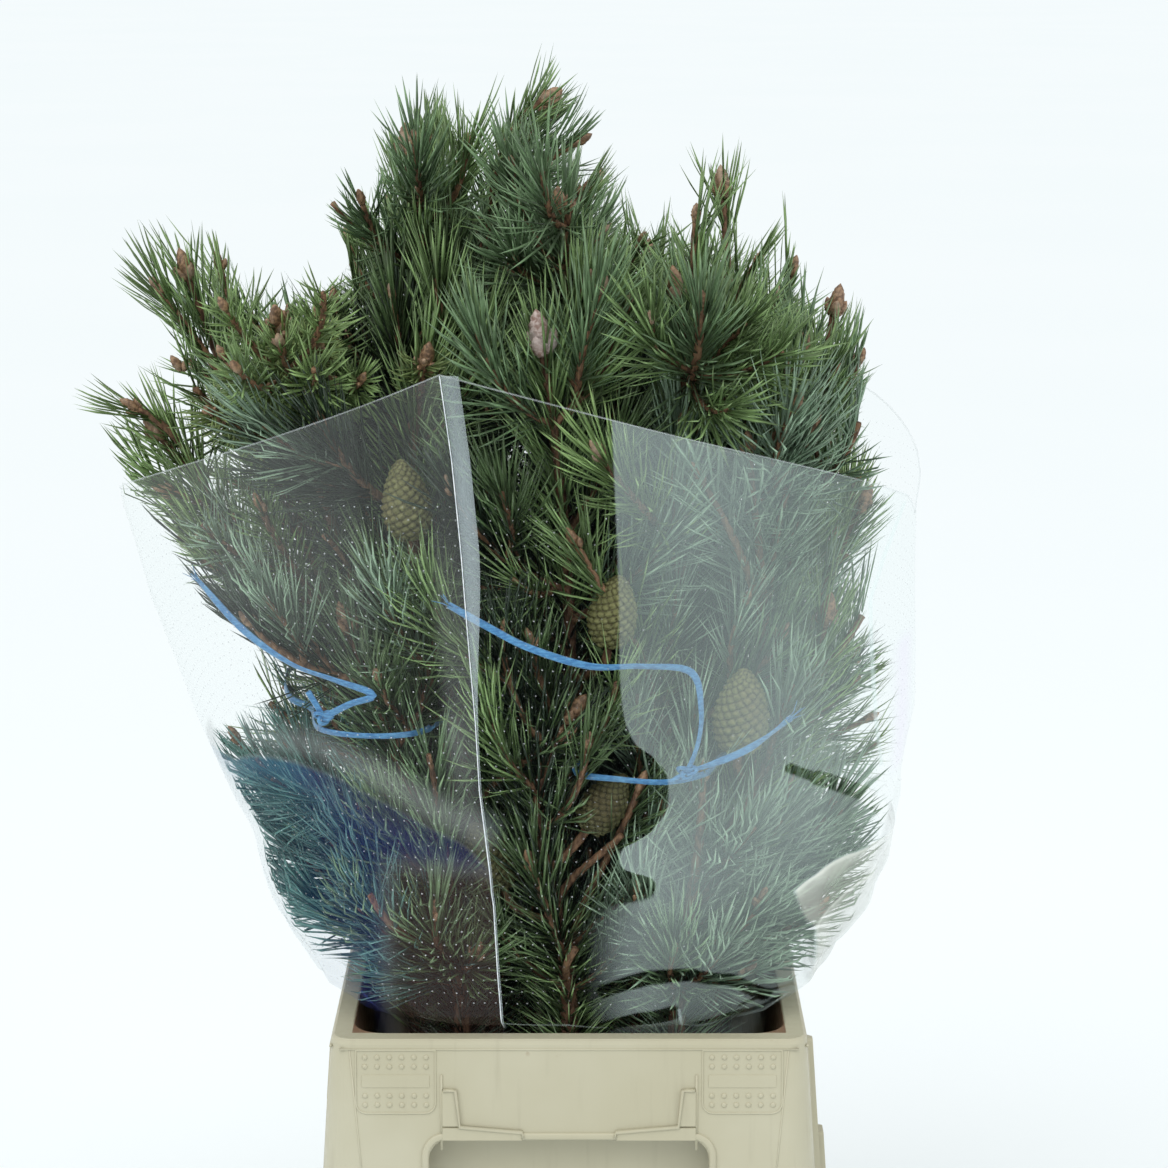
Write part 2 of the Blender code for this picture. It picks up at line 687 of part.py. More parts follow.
def build_cone(number, cone):
    """An egg of scales in staggered rings on a short stalk, cut flat where it meets its twig."""
    foot, top, way = cone_ends(cone)
    length, width = cone[3], cone[4]
    side = way.orthogonal().normalized()
    other = way.cross(side)
    stalk = foot - way * 0.006
    rows = [(stalk, CONE_STALK, 0.0), (foot - way * 0.001, CONE_STALK, 0.0)]
    for i in range(CONE_RINGS):
        share = (i + 0.5) / CONE_RINGS
        bulge = math.sin(math.pi * min(1.0, 0.10 + 0.90 * share) ** 0.80) ** 0.70
        rows.append((foot.lerp(top, share), width * bulge, 0.12))
    points = []
    rings = []
    for i, (centre, radius, relief) in enumerate(rows):
        ring = []
        for j in range(CONE_AROUND):
            angle = 2 * math.pi * (j + 0.5 * (i % 2)) / CONE_AROUND
            scale = radius * (1.0 - relief * ((i + j) % 2))
            ring.append(len(points))
            points.append(centre + (side * math.cos(angle) + other * math.sin(angle)) * scale)
        rings.append(ring)
    faces = bridge(rings)
    faces.append(tuple(reversed(rings[0])))
    points.append(top)
    tip = len(points) - 1
    faces += [(rings[-1][j], rings[-1][(j + 1) % CONE_AROUND], tip) for j in range(CONE_AROUND)]
    new_object(f"cone_{number + 1}", points, faces, "cone")


# Twine

def tie_paths(tie):
    """The closed loop round a bunch, and the open tails that start at its knot."""
    mx, my, mz = tie["middle"]
    hx, hy = tie["half"]
    loop = []
    for i in range(LOOP_POINTS):
        angle = 2 * math.pi * i / LOOP_POINTS
        x = mx + hx * math.cos(angle)
        y = my + hy * math.sin(angle)
        z = mz + tie["tilt"] * (y - my)
        if y < my:
            y = max(y, film_front(x, z, tie["inset"]))
        loop.append(Vector((x, y, z)))
    tails = []
    for tail in tie["tails"]:
        tails.append([Vector((x, film_front(x, z, tie["inset"]), z)) for x, z in tail])
    return loop, tails


def build_tie(name, tie):
    loop, tails = tie_paths(tie)
    points = []
    rings = []
    for i, centre in enumerate(loop):
        ahead = (loop[(i + 1) % LOOP_POINTS] - loop[i - 1]).normalized()
        out = Vector((ahead.y, -ahead.x, 0.0)).normalized()
        up = out.cross(ahead)
        ring = []
        for j in range(4):
            angle = math.pi / 4 + math.pi / 2 * j
            ring.append(len(points))
            points.append(centre + (out * math.cos(angle) + up * math.sin(angle)) * TWINE_RADIUS)
        rings.append(ring)
    base = new_object(name, points, bridge(rings, closed=True), "twine")
    others = []
    for k, tail in enumerate(tails):
        path = resample(tail, 0.016)
        points, rings, faces = tube(path, [TWINE_RADIUS * 0.95] * len(path), 4)
        faces += bridge(rings)
        others.append(new_object(f"{name}_tail_{k}", points, faces, "twine"))
    others.append(build_knot(name, tie, loop))
    join_by_union(base, others)


def build_knot(name, tie, loop):
    """A lump that joins the loop and the tails where they cross."""
    x, z = tie["knot"]
    place = Vector((x, film_front(x, z, tie["inset"]), z))
    near = min(loop, key=lambda p: (p - place).length)
    path = [near.lerp(place, t) for t in (-0.25, 0.15, 0.5, 0.85, 1.25)]
    if (near - place).length < 0.006:
        path = [place + Vector((0.004 * t, 0.0, 0.001 * t)) for t in (-1.2, -0.6, 0.0, 0.6, 1.2)]
    radii = [0.0022, 0.0032, 0.0036, 0.0032, 0.0022]
    points, rings, faces = tube(path, radii, 6)
    faces += bridge(rings)
    return new_object(name + "_knot", points, faces, "twine")


def main():
    clear_scene()
    build_bucket()
    build_sleeve()
    tie_cloud = []
    for name, tie in TIES.items():
        build_tie(name, tie)
        loop, tails = tie_paths(tie)
        for path in [loop + loop[:1]] + tails:
            tie_cloud.append(as_cloud(path))
    twine_cloud = np.vstack(tie_cloud)
    feet, curves = zip(*(branch_path(branch) for branch in BRANCHES))
    grown = grow_shoots(curves, twine_cloud)
    starts = [split_path(curve, ENTRY_HEIGHT) for curve in curves]
    spurs = [[] for _ in curves]
    for number, cone in enumerate(CONES):
        build_cone(number, cone)
        spurs[cone[0]].append(cone_spur(cone, curves[cone[0]][starts[cone[0]] + 1:]))
    clouds = {}
    for number, curve in enumerate(curves):
        clouds[(number, "main")] = as_cloud(curve)
        for k, shoot in enumerate(grown[number]):
            clouds[(number, k)] = as_cloud(shoot)[3:]
        for k, spur in enumerate(spurs[number]):
            clouds[(number, f"spur {k}")] = as_cloud(spur)
    for number, curve in enumerate(curves):
        cut = starts[number]
        ahead = (curve[cut + 1] - curve[cut]).normalized()
        lower = [curve[0], curve[cut] - ahead * STRAIGHT, curve[cut]]
        build_stem(f"stem_{number + 1:02d}", feet[number], lower)
        entry = curve[cut] + ahead * GAP
        upper = [entry + ahead * STRAIGHT] + list(curve[cut + 1:])
        build_mass(number, entry, upper, grown[number], clouds, twine_cloud, spurs[number])


main()
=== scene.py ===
"""Cut branches of mugo pine in a clear film sleeve, tied with twine, in a bucket: the dressed model.

Metres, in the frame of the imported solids. The branches grow here by the same seeded rule as the solids,
carried on to finer shoots, pairs of needles, buds and cone scales.
"""
import functools
import math
import random

import bmesh
import bpy
import numpy as np
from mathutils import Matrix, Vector


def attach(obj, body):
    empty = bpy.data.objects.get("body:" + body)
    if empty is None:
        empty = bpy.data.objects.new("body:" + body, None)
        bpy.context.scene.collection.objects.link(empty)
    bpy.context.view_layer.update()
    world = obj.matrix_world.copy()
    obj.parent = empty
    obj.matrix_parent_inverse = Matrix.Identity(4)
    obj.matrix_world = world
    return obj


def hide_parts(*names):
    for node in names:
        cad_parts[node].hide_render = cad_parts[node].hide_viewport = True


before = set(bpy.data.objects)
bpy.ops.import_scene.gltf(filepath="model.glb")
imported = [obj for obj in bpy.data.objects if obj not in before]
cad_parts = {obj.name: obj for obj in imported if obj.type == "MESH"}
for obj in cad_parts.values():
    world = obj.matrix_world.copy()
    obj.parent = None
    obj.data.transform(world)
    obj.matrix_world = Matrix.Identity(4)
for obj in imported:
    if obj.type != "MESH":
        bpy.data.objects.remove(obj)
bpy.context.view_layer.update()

# Sizes of the bucket
BUCKET_HEIGHT = 0.37
RIM_HALF = (0.1395, 0.1925)
MOUTH_HALF = (0.1265, 0.1795)
BASE_HALF = (0.105, 0.155)
BUCKET_WALL = 0.003
BUCKET_FLOOR = 0.004
COLLAR_DROP = 0.12
COLLAR_FLARE = 0.0085
RIM_CORNER = 0.012
COLLAR_CORNER = 0.024
BODY_CORNER = 0.02
CORNER_STEPS = 10
ARCH_HALF = (0.082, 0.07)
ARCH_TOP = 0.31
ARCH_CORNER = 0.012

# How far the foot of a raised band or plate, and of a stud, is sunk in the wall
SUNK = 0.001
STUD_SUNK = 0.0008
STUD_SIDES = 10

# Sizes of the film sleeve: height, half width, half depth, middle in X, squareness
FILM_STATIONS = (
    (0.3, 0.1215, 0.1735, 0.0, 4.0),
    (0.37, 0.124, 0.1765, 0.0, 4.0),
    (0.385, 0.141, 0.186, 0.0, 3.4),
    (0.4, 0.152, 0.188, 0.0, 3.1),
    (0.44, 0.185, 0.191, 0.0, 2.7),
    (0.48, 0.208, 0.194, -0.002, 2.5),
    (0.53, 0.225, 0.197, -0.009, 2.3),
    (0.6, 0.2385, 0.201, -0.023, 2.2),
    (0.66, 0.2465, 0.204, -0.031, 2.2),
    (0.765, 0.26, 0.209, -0.031, 2.2),
)
FILM_TABLE = np.array(FILM_STATIONS)
FILM_THICK = 0.001
FILM_SIDE_TOP = 0.655
FILM_PEAK = 0.108
FILM_SEAM = math.radians(-101.0)
FILM_DROP = {"left": 1.35, "right": 0.8}
FILM_COLUMNS = 360
FILM_ROWS = 86
FILM_FOOT_ROWS = 14
FILM_FOOT = 0.3
FILM_FLARE = 0.385
SHEET = 0.0003
FILM_SAG = 0.022
SEAM_WELD = 0.0006

# Pin-holes: heights of the first and last row, and their spacing
PINHOLE_ROWS = (0.392, 0.69, 0.0072)
PINHOLES_ROUND = 200
PINHOLE_SIDES = 5

# Creases in the front of the film: places in X and Z, half width, and how far they stand out
CREASES = (
    (((0.196, 0.672), (0.187, 0.644), (0.177, 0.617), (0.179, 0.58), (0.182, 0.54)), 0.005, 0.003),
    (((-0.11, 0.745), (-0.104, 0.7), (-0.112, 0.64), (-0.106, 0.59)), 0.01, -0.0025),
    (((0.052, 0.521), (0.09, 0.5), (0.14, 0.483), (0.186, 0.468)), 0.006, 0.003),
    (((0.03, 0.414), (0.071, 0.408), (0.116, 0.388)), 0.005, -0.003),
    (((0.074, 0.38), (0.11, 0.384), (0.145, 0.398)), 0.005, -0.0025),
    (((0.12, 0.47), (0.15, 0.455), (0.172, 0.47)), 0.004, 0.003),
    (((0.16, 0.5), (0.172, 0.45), (0.16, 0.41)), 0.004, 0.0025),
    (((-0.195, 0.545), (-0.156, 0.552), (-0.097, 0.545), (-0.057, 0.51), (-0.043, 0.46)), 0.005, 0.0025),
    (((-0.15, 0.52), (-0.13, 0.47), (-0.12, 0.41)), 0.006, 0.002),
    (((-0.08, 0.5), (-0.09, 0.44), (-0.085, 0.395)), 0.005, 0.0018),
)

# Lines seen on the front of the film, as curves: edges of the right veil, a painted reflection, by height,
# and its strength
RIGHT_VEIL_EDGE = (
    (0.367, 0.012), (0.4, 0.009), (0.425, 0.008), (0.447, 0.014), (0.456, 0.038), (0.464, 0.05),
    (0.472, 0.036), (0.48, 0.029), (0.49, 0.038), (0.5, 0.05), (0.52, 0.057), (0.538, 0.05), (0.552, 0.036),
    (0.575, 0.03), (0.64, 0.028), (0.735, 0.024),
)
RIGHT_FAR_EDGE = (
    (0.4, 0.185), (0.47, 0.185), (0.544, 0.182), (0.58, 0.179), (0.617, 0.177), (0.644, 0.187),
    (0.669, 0.199), (0.7, 0.215),
)
RIGHT_LEVEL = (
    (0.37, 0.135), (0.43, 0.14), (0.475, 0.2), (0.52, 0.2), (0.62, 0.19), (0.74, 0.2),
)

# The front seam, the folds low on the right that carry a painted reflection, and the top of the painted blue
# reflection
SEAM_LINE = (
    (0.372, -0.038), (0.423, -0.041), (0.473, -0.045), (0.521, -0.051), (0.563, -0.053), (0.605, -0.056),
    (0.66, -0.06), (0.715, -0.065), (0.763, -0.071),
)
FOLD_RIDGE = (
    (0.125, 0.449), (0.132, 0.454), (0.143, 0.461), (0.157, 0.466), (0.172, 0.468), (0.186, 0.467),
    (0.206, 0.461),
)
FOLD_LEFT = (
    (0.38, 0.142), (0.407, 0.145), (0.426, 0.144), (0.435, 0.138), (0.447, 0.133), (0.456, 0.131),
    (0.47, 0.131),
)
SECOND_FOLD = (
    (0.38, 0.148), (0.4, 0.146), (0.421, 0.145), (0.431, 0.147), (0.437, 0.152), (0.442, 0.16),
    (0.446, 0.172), (0.46, 0.215),
)
BLUE_TOP = (
    (-0.2, 0.518), (-0.175, 0.528), (-0.15, 0.526), (-0.114, 0.513), (-0.083, 0.499), (-0.057, 0.485),
    (-0.04, 0.462),
)
# Gaps in the veil of painted reflection, in X and Z: places and half width
CLEAR_SLITS = (
    (((0.02, 0.4), (0.047, 0.409), (0.071, 0.41), (0.094, 0.405), (0.116, 0.391)), 0.0052),
    (((0.02, 0.374), (0.042, 0.382), (0.06, 0.386)), 0.0062),
    (((0.074, 0.377), (0.095, 0.382), (0.125, 0.385)), 0.0026),
    (((0.1, 0.388), (0.118, 0.393), (0.131, 0.391), (0.142, 0.385)), 0.0018),
    (((0.128, 0.527), (0.145, 0.518)), 0.0038),
    (((0.145, 0.518), (0.16, 0.51), (0.175, 0.5), (0.188, 0.484)), 0.0052),
    (((0.188, 0.484), (0.2, 0.464)), 0.004),
)

# Painted highlights: bright lines on folds of the film, in X and Z: places, half width, softness and strength
GLINTS = (
    (((0.199, 0.669), (0.187, 0.644), (0.177, 0.617), (0.179, 0.58), (0.182, 0.544), (0.187, 0.513)),
     0.0024, 0.002, 0.3),
    (((0.201, 0.462), (0.186, 0.467), (0.172, 0.467), (0.157, 0.465), (0.143, 0.46), (0.132, 0.453)),
     0.0022, 0.0022, 0.22),
    (((0.182, 0.447), (0.165, 0.444), (0.153, 0.438), (0.147, 0.431), (0.145, 0.423), (0.146, 0.4)),
     0.0018, 0.0018, 0.18),
    (((0.064, 0.388), (0.066, 0.375), (0.075, 0.3715), (0.104, 0.3735), (0.128, 0.384)), 0.0016, 0.0014, 0.3),
    (((-0.122, 0.392), (-0.111, 0.38), (-0.085, 0.3735), (-0.038, 0.3765), (0.022, 0.3725)),
     0.001, 0.0008, 0.22),
    (((-0.19, 0.54), (-0.147, 0.541), (-0.113, 0.528), (-0.082, 0.512), (-0.051, 0.497)),
     0.017, 0.017, 0.12),
    (((-0.055, 0.505), (-0.066, 0.56)), 0.01, 0.01, 0.03),
)
# Painted iridescent reflection near the film's right edge: a line in X and Z
RAINBOW = ((0.203, 0.578), (0.202, 0.508))

# Sizes of the branches and their shoots
GAP = 0.0003
STEM_FOOT = 0.0065
STEM_TOP = 0.0048
FOOT_SPREAD = 0.78
LEADER = 0.17
SHOOTS_EACH = 5
SHOOT_LENGTH = (0.14, 0.085)
SHOOT_CLEAR = 0.04
SHOOT_OUT = 0.028
SHOOT_TRIES = 60

# Least room from the rim, the film, the skyline, the cones and the twine
SHOOT_ROOM = (0.015, 0.012, 0.016, 0.008, 0.01)
FINE_ROOM = (0.003, 0.008, 0.026, 0.006, 0.006)
ENTRY_HEIGHT = 0.4
SEED = 11

# Branches: neck at the rim, tip of the leading bud, and how far the tip leans per unit of height
BRANCHES = (
    ((-0.095, -0.085), (-0.169, -0.1, 0.775), (-0.15, -0.7)),
    ((-0.045, -0.095), (-0.083, -0.13, 0.755), (0.2, -0.35)),
    ((0.0, -0.1), (-0.015, -0.155, 0.77), (-0.15, -0.3)),
    ((0.04, -0.09), (0.062, -0.12, 0.797), (-0.15, -0.25)),
    ((0.09, -0.075), (0.141, -0.06, 0.75), (-0.1, -0.25)),
    ((-0.085, 0.015), (-0.234, 0.0, 0.794), (-0.3, 0.0)),
    ((-0.1, -0.03), (-0.25, -0.03, 0.7), (-0.7, -0.1)),
    ((-0.04, 0.0), (-0.101, 0.02, 0.868), (0.0, 0.0)),
    ((-0.005, -0.045), (-0.006, -0.05, 0.836), (-0.05, -0.2)),
    ((0.0, 0.02), (-0.015, 0.05, 0.89), (0.7, 0.0)),
    ((0.045, 0.025), (0.096, 0.06, 0.839), (-0.1, 0.1)),
    ((0.08, 0.035), (0.165, 0.03, 0.768), (0.2, 0.0)),
    ((0.1, -0.02), (0.18, 0.0, 0.648), (0.45, -0.1)),
    ((-0.075, 0.07), (-0.18, 0.12, 0.745), (-0.3, 0.3)),
    ((-0.03, 0.08), (-0.06, 0.15, 0.8), (-0.1, 0.35)),
    ((0.025, 0.085), (0.05, 0.14, 0.785), (0.1, 0.35)),
    ((0.07, 0.08), (0.145, 0.12, 0.725), (0.3, 0.3)),
    ((-0.065, -0.13), (-0.13, -0.125, 0.6), (-0.3, -0.1)),
    ((0.0, -0.14), (0.0, -0.165, 0.556), (0.7, -0.1)),
    ((0.065, -0.13), (0.152, -0.104, 0.6), (0.2, 0.0)),
    ((0.0, 0.13), (0.0, 0.16, 0.6), (0.1, 0.05)),
)

# Skyline of the crown seen from the front: X, and the highest needle there, with depth seen from above
SKYLINE = (
    (-0.305, 0.7), (-0.295, 0.765), (-0.277, 0.828), (-0.225, 0.836), (-0.205, 0.806), (-0.152, 0.806),
    (-0.145, 0.858), (-0.12, 0.888), (-0.08, 0.908), (-0.055, 0.892), (-0.03, 0.905), (-0.01, 0.928),
    (0.02, 0.908), (0.04, 0.876), (0.048, 0.836), (0.062, 0.858), (0.1, 0.87), (0.13, 0.842), (0.14, 0.802),
    (0.172, 0.794), (0.188, 0.745), (0.195, 0.7), (0.216, 0.655),
)
SIGHT_DROP = 0.21

# Cones: branch that bears it, middle, the way it points, length, and half width
CONES = (
    (1, (-0.094, -0.15, 0.683), (-0.1, -0.2, 1.0), 0.048, 0.0145),
    (2, (0.026, -0.152, 0.618), (0.15, -0.25, 1.0), 0.044, 0.0145),
    (18, (0.022, -0.16, 0.505), (0.6, -0.1, 0.9), 0.04, 0.0135),
    (4, (0.101, -0.142, 0.556), (0.05, -0.2, 1.0), 0.052, 0.0165),
    (18, (-0.048, -0.152, 0.47), (-0.45, -0.1, 1.0), 0.044, 0.0145),
    (14, (-0.075, 0.165, 0.66), (-0.2, 0.3, 1.0), 0.046, 0.015),
    (16, (0.12, 0.142, 0.61), (0.1, 0.35, 1.0), 0.048, 0.015),
)
SHADED_CONES = (2, 4)

# Twine ties: the loop round a bunch, where it shows in X, and tails and short ends as places in X and Z
TIES = {
    "twine_left": {
        "middle": (-0.118, -0.052, 0.553), "half": (0.096, 0.118), "tilt": 0.05,
        "knot": (-0.142, 0.557), "inset": 0.0075, "shows": (-0.144, -0.072),
        "tails": (((-0.142, 0.557), (-0.126, 0.567), (-0.112, 0.574), (-0.135, 0.581),
                   (-0.161, 0.588), (-0.19, 0.605), (-0.218, 0.631)),),
        "short_ends": (((-0.142, 0.557), (-0.146, 0.564), (-0.151, 0.572)),),
    },
    "twine_right": {
        "middle": (0.058, -0.085, 0.527), "half": (0.092, 0.098), "tilt": 0.04,
        "knot": (0.068, 0.529), "inset": 0.006, "shows": (0.002, 0.078), "short_ends": (),
        "tails": (((0.068, 0.529), (0.074, 0.545), (0.076, 0.565), (0.07, 0.588),
                   (0.042, 0.593), (0.012, 0.594), (-0.022, 0.605), (-0.045, 0.617), (-0.068, 0.63)),
                  ((0.068, 0.529), (0.09, 0.535), (0.108, 0.542), (0.129, 0.555))),
    },
}
LOOP_POINTS = 20
LOOP_TUCK = 0.04

# Section of the twine, in shares of its half width and thickness
TWINE_SECTION = (
    (-1.0, 0.0), (-0.75, 0.8), (-0.25, 1.0), (0.25, 0.8), (0.75, 0.9), (1.0, 0.0), (0.6, -0.9), (0.0, -0.7),
    (-0.6, -0.9),
)

# Passes of finer shoots: tries, most on a branch, from side shoots too, shares, lengths, clear space, rise
FINE_PASSES = (
    (80, 9, False, (0.0, 0.12), (0.055, 0.095), 0.0145, 0.05),
    (70, 6, True, (0.04, 0.42), (0.06, 0.095), 0.0165, 0.12),
    (90, 9, False, (0.0, 0.42), (0.07, 0.125), 0.02, 0.5),
    (110, 15, True, (0.05, 0.9), (0.055, 0.085), 0.019, 0.6),
)
REACH_DEPTH = 0.19
PAIR_STEP = 0.0016
FINE_PAIR_STEP = 0.0018
PLAIN_PAIR_STEP = 0.0026
FILL_STEP = 0.0026
FILL_FROM = 0.325
SKIRT_STEP = 0.0011
SKIRT_RISE = (0.33, 0.425)
GOLDEN = math.radians(137.508)
NEEDLE_LENGTH = (0.042, 0.055)
NEEDLE_HALF = 0.0008
NEEDLE_DEEP = 0.00058
SHORTER = 0.74
NEEDLE_INSET = 0.0022
NEEDLE_RISE = 0.07

# Length of shoot over which the needles open out from its tip, and how unevenly
SPLAY_ZONE = 0.075
SPLAY_SPREAD = math.radians(5.5)

# Rings of a needle: share of its length and of its half width; its tip is a point
NEEDLE_RINGS = {"bent": ((0.0, 0.85), (0.72, 1.0)), "plain": ((0.0, 1.2),)}
PAIR_SPREAD = math.radians(4.5)
NEEDLE_SPLAY = (math.radians(15.0), math.radians(40.0))
FILL_SPLAY = (math.radians(32.0), math.radians(50.0))
SKIRT_SPLAY = (math.radians(58.0), math.radians(58.0))

# Needle lengths and splay of the branch of rosettes
ROSETTE_BRANCH = ((0.019, 0.03), (math.radians(38.0), math.radians(62.0)))

# Branches with open, thin tufts, and how far apart their needles and shoots are
THIN = {5: 1.8, 6: 1.8, 9: 1.15, 10: 1.35, 11: 1.45, 12: 1.3}
# Needle colours. Deep and dim are painted shade, darker tones given to needles far inside the bunch and in
# its middle; sage is painted reflected light, a paler tone behind the film's veiled panels
TONES = {
    "blue": (0.148, 0.238, 0.12),
    "mid": (0.172, 0.268, 0.102),
    "bright": (0.2, 0.305, 0.11),
    "yellow": (0.185, 0.255, 0.088),
    "deep": (0.026, 0.045, 0.026),
    "dim": (0.088, 0.142, 0.058),
    "sage": (0.215, 0.315, 0.215),
    "teal": (0.085, 0.19, 0.165),
}

# Tone of each branch's needles, and the share of its shoots that take the second tone
BRANCH_TONES = {
    0: ("mid", "bright", 0.5), 1: ("mid", "dim", 0.35), 2: ("mid", "blue", 0.5), 3: ("blue", "mid", 0.6),
    4: ("mid", "blue", 0.5), 5: ("mid", "bright", 0.4), 6: ("bright", "mid", 0.5), 7: ("mid", "blue", 0.5),
    8: ("blue", "mid", 0.4), 9: ("blue", "mid", 0.4), 10: ("mid", "blue", 0.5), 11: ("mid", "blue", 0.4),
    12: ("mid", "bright", 0.4), 13: ("blue", "mid", 0.4), 14: ("mid", "blue", 0.5), 15: ("blue", "mid", 0.5),
    16: ("mid", "deep", 0.4), 17: ("blue", "deep", 0.5), 18: ("deep", "mid", 0.6), 19: ("mid", "blue", 0.5),
    20: ("deep", "mid", 0.4),
}

# How far the needles stop under the skyline, or rise over it: X and drop
TRIM = (
    (-0.31, 0.015), (-0.285, 0.016), (-0.272, -0.004), (-0.257, -0.02), (-0.247, 0.01), (-0.238, 0.024),
    (-0.228, 0.008), (-0.214, 0.014), (-0.2, 0.012), (-0.185, 0.0), (-0.172, 0.012), (-0.155, 0.036),
    (-0.138, 0.036), (-0.126, 0.006), (-0.11, 0.01), (-0.095, -0.004), (-0.076, -0.008), (-0.066, 0.005),
    (-0.054, 0.014), (-0.042, 0.002), (-0.028, 0.002), (-0.016, -0.01), (-0.004, -0.008), (0.007, 0.006),
    (0.02, 0.014), (0.034, 0.018), (0.043, 0.01), (0.052, 0.055), (0.06, -0.004), (0.07, -0.025),
    (0.085, -0.004), (0.102, -0.015), (0.118, -0.035), (0.134, 0.002), (0.155, 0.024), (0.168, 0.014),
    (0.176, 0.004), (0.184, 0.03), (0.215, 0.03),
)
HIGHEST = 0.947

# Sides of the foliage seen from the front: height, and X there
LEFT_SIDE = (
    (0.5, -0.35), (0.51, -0.215), (0.521, -0.205), (0.527, -0.187), (0.545, -0.188), (0.558, -0.194),
    (0.571, -0.208), (0.584, -0.222), (0.597, -0.235), (0.622, -0.247), (0.64, -0.252), (0.655, -0.268),
    (0.665, -0.288), (0.685, -0.284), (0.698, -0.285), (0.711, -0.305), (0.735, -0.305), (0.743, -0.262),
    (0.748, -0.236), (0.758, -0.24), (0.775, -0.255), (0.785, -0.272), (0.8, -0.285), (0.82, -0.35),
)
RIGHT_SIDE = (
    (0.48, 0.35), (0.5, 0.21), (0.52, 0.203), (0.545, 0.204), (0.562, 0.2), (0.574, 0.19), (0.59, 0.182),
    (0.61, 0.184), (0.625, 0.188), (0.64, 0.196), (0.655, 0.206), (0.67, 0.205), (0.686, 0.192),
    (0.698, 0.182), (0.711, 0.175), (0.73, 0.182), (0.74, 0.186), (0.75, 0.176), (0.765, 0.178),
    (0.8, 0.182), (0.83, 0.35),
)

# Gaps among the crown's tufts where the sky shows, seen from the front: X, Z, half width and half height
SKY_GAPS = (
    (-0.272, 0.76, 0.024, 0.012), (-0.128, 0.868, 0.009, 0.018), (0.071, 0.838, 0.008, 0.012),
    (0.115, 0.833, 0.011, 0.014), (0.046, 0.85, 0.01, 0.022), (0.014, 0.872, 0.006, 0.01),
    (-0.147, 0.808, 0.01, 0.014), (0.092, 0.822, 0.004, 0.006), (0.128, 0.806, 0.005, 0.006),
    (0.148, 0.79, 0.004, 0.007), (0.158, 0.764, 0.005, 0.005), (0.108, 0.802, 0.003, 0.005),
    (-0.225, 0.752, 0.006, 0.005), (-0.24, 0.73, 0.005, 0.006), (-0.262, 0.702, 0.007, 0.004),
)
CAMERA_PLACE = (0.008738, -1.98597, 1.022784)
BUD_CLEAR = 0.005
BUD_SIZES = {"rosette": 0.6}
PALE_BUD = 2

# Styles of the listed shoots: needle lengths, splay, step between pairs and half thickness of the twig
STYLES = {
    "rosette": ((0.015, 0.023), (math.radians(48.0), math.radians(84.0)), 0.0011, 0.0026),
    "long": ((0.042, 0.054), (math.radians(18.0), math.radians(44.0)), 0.0017, 0.0021),
    "pressed": ((0.044, 0.056), (math.radians(12.0), math.radians(30.0)), 0.0013, 0.0021),
    "fan": ((0.038, 0.05), (math.radians(28.0), math.radians(54.0)), 0.0013, 0.0022),
    "sparse": ((0.042, 0.054), (math.radians(22.0), math.radians(44.0)), 0.003, 0.0036),
    "stem": ((0.042, 0.056), (math.radians(26.0), math.radians(46.0)), 0.0024, 0.004),
    "bare": (None, None, None, 0.0022),
}

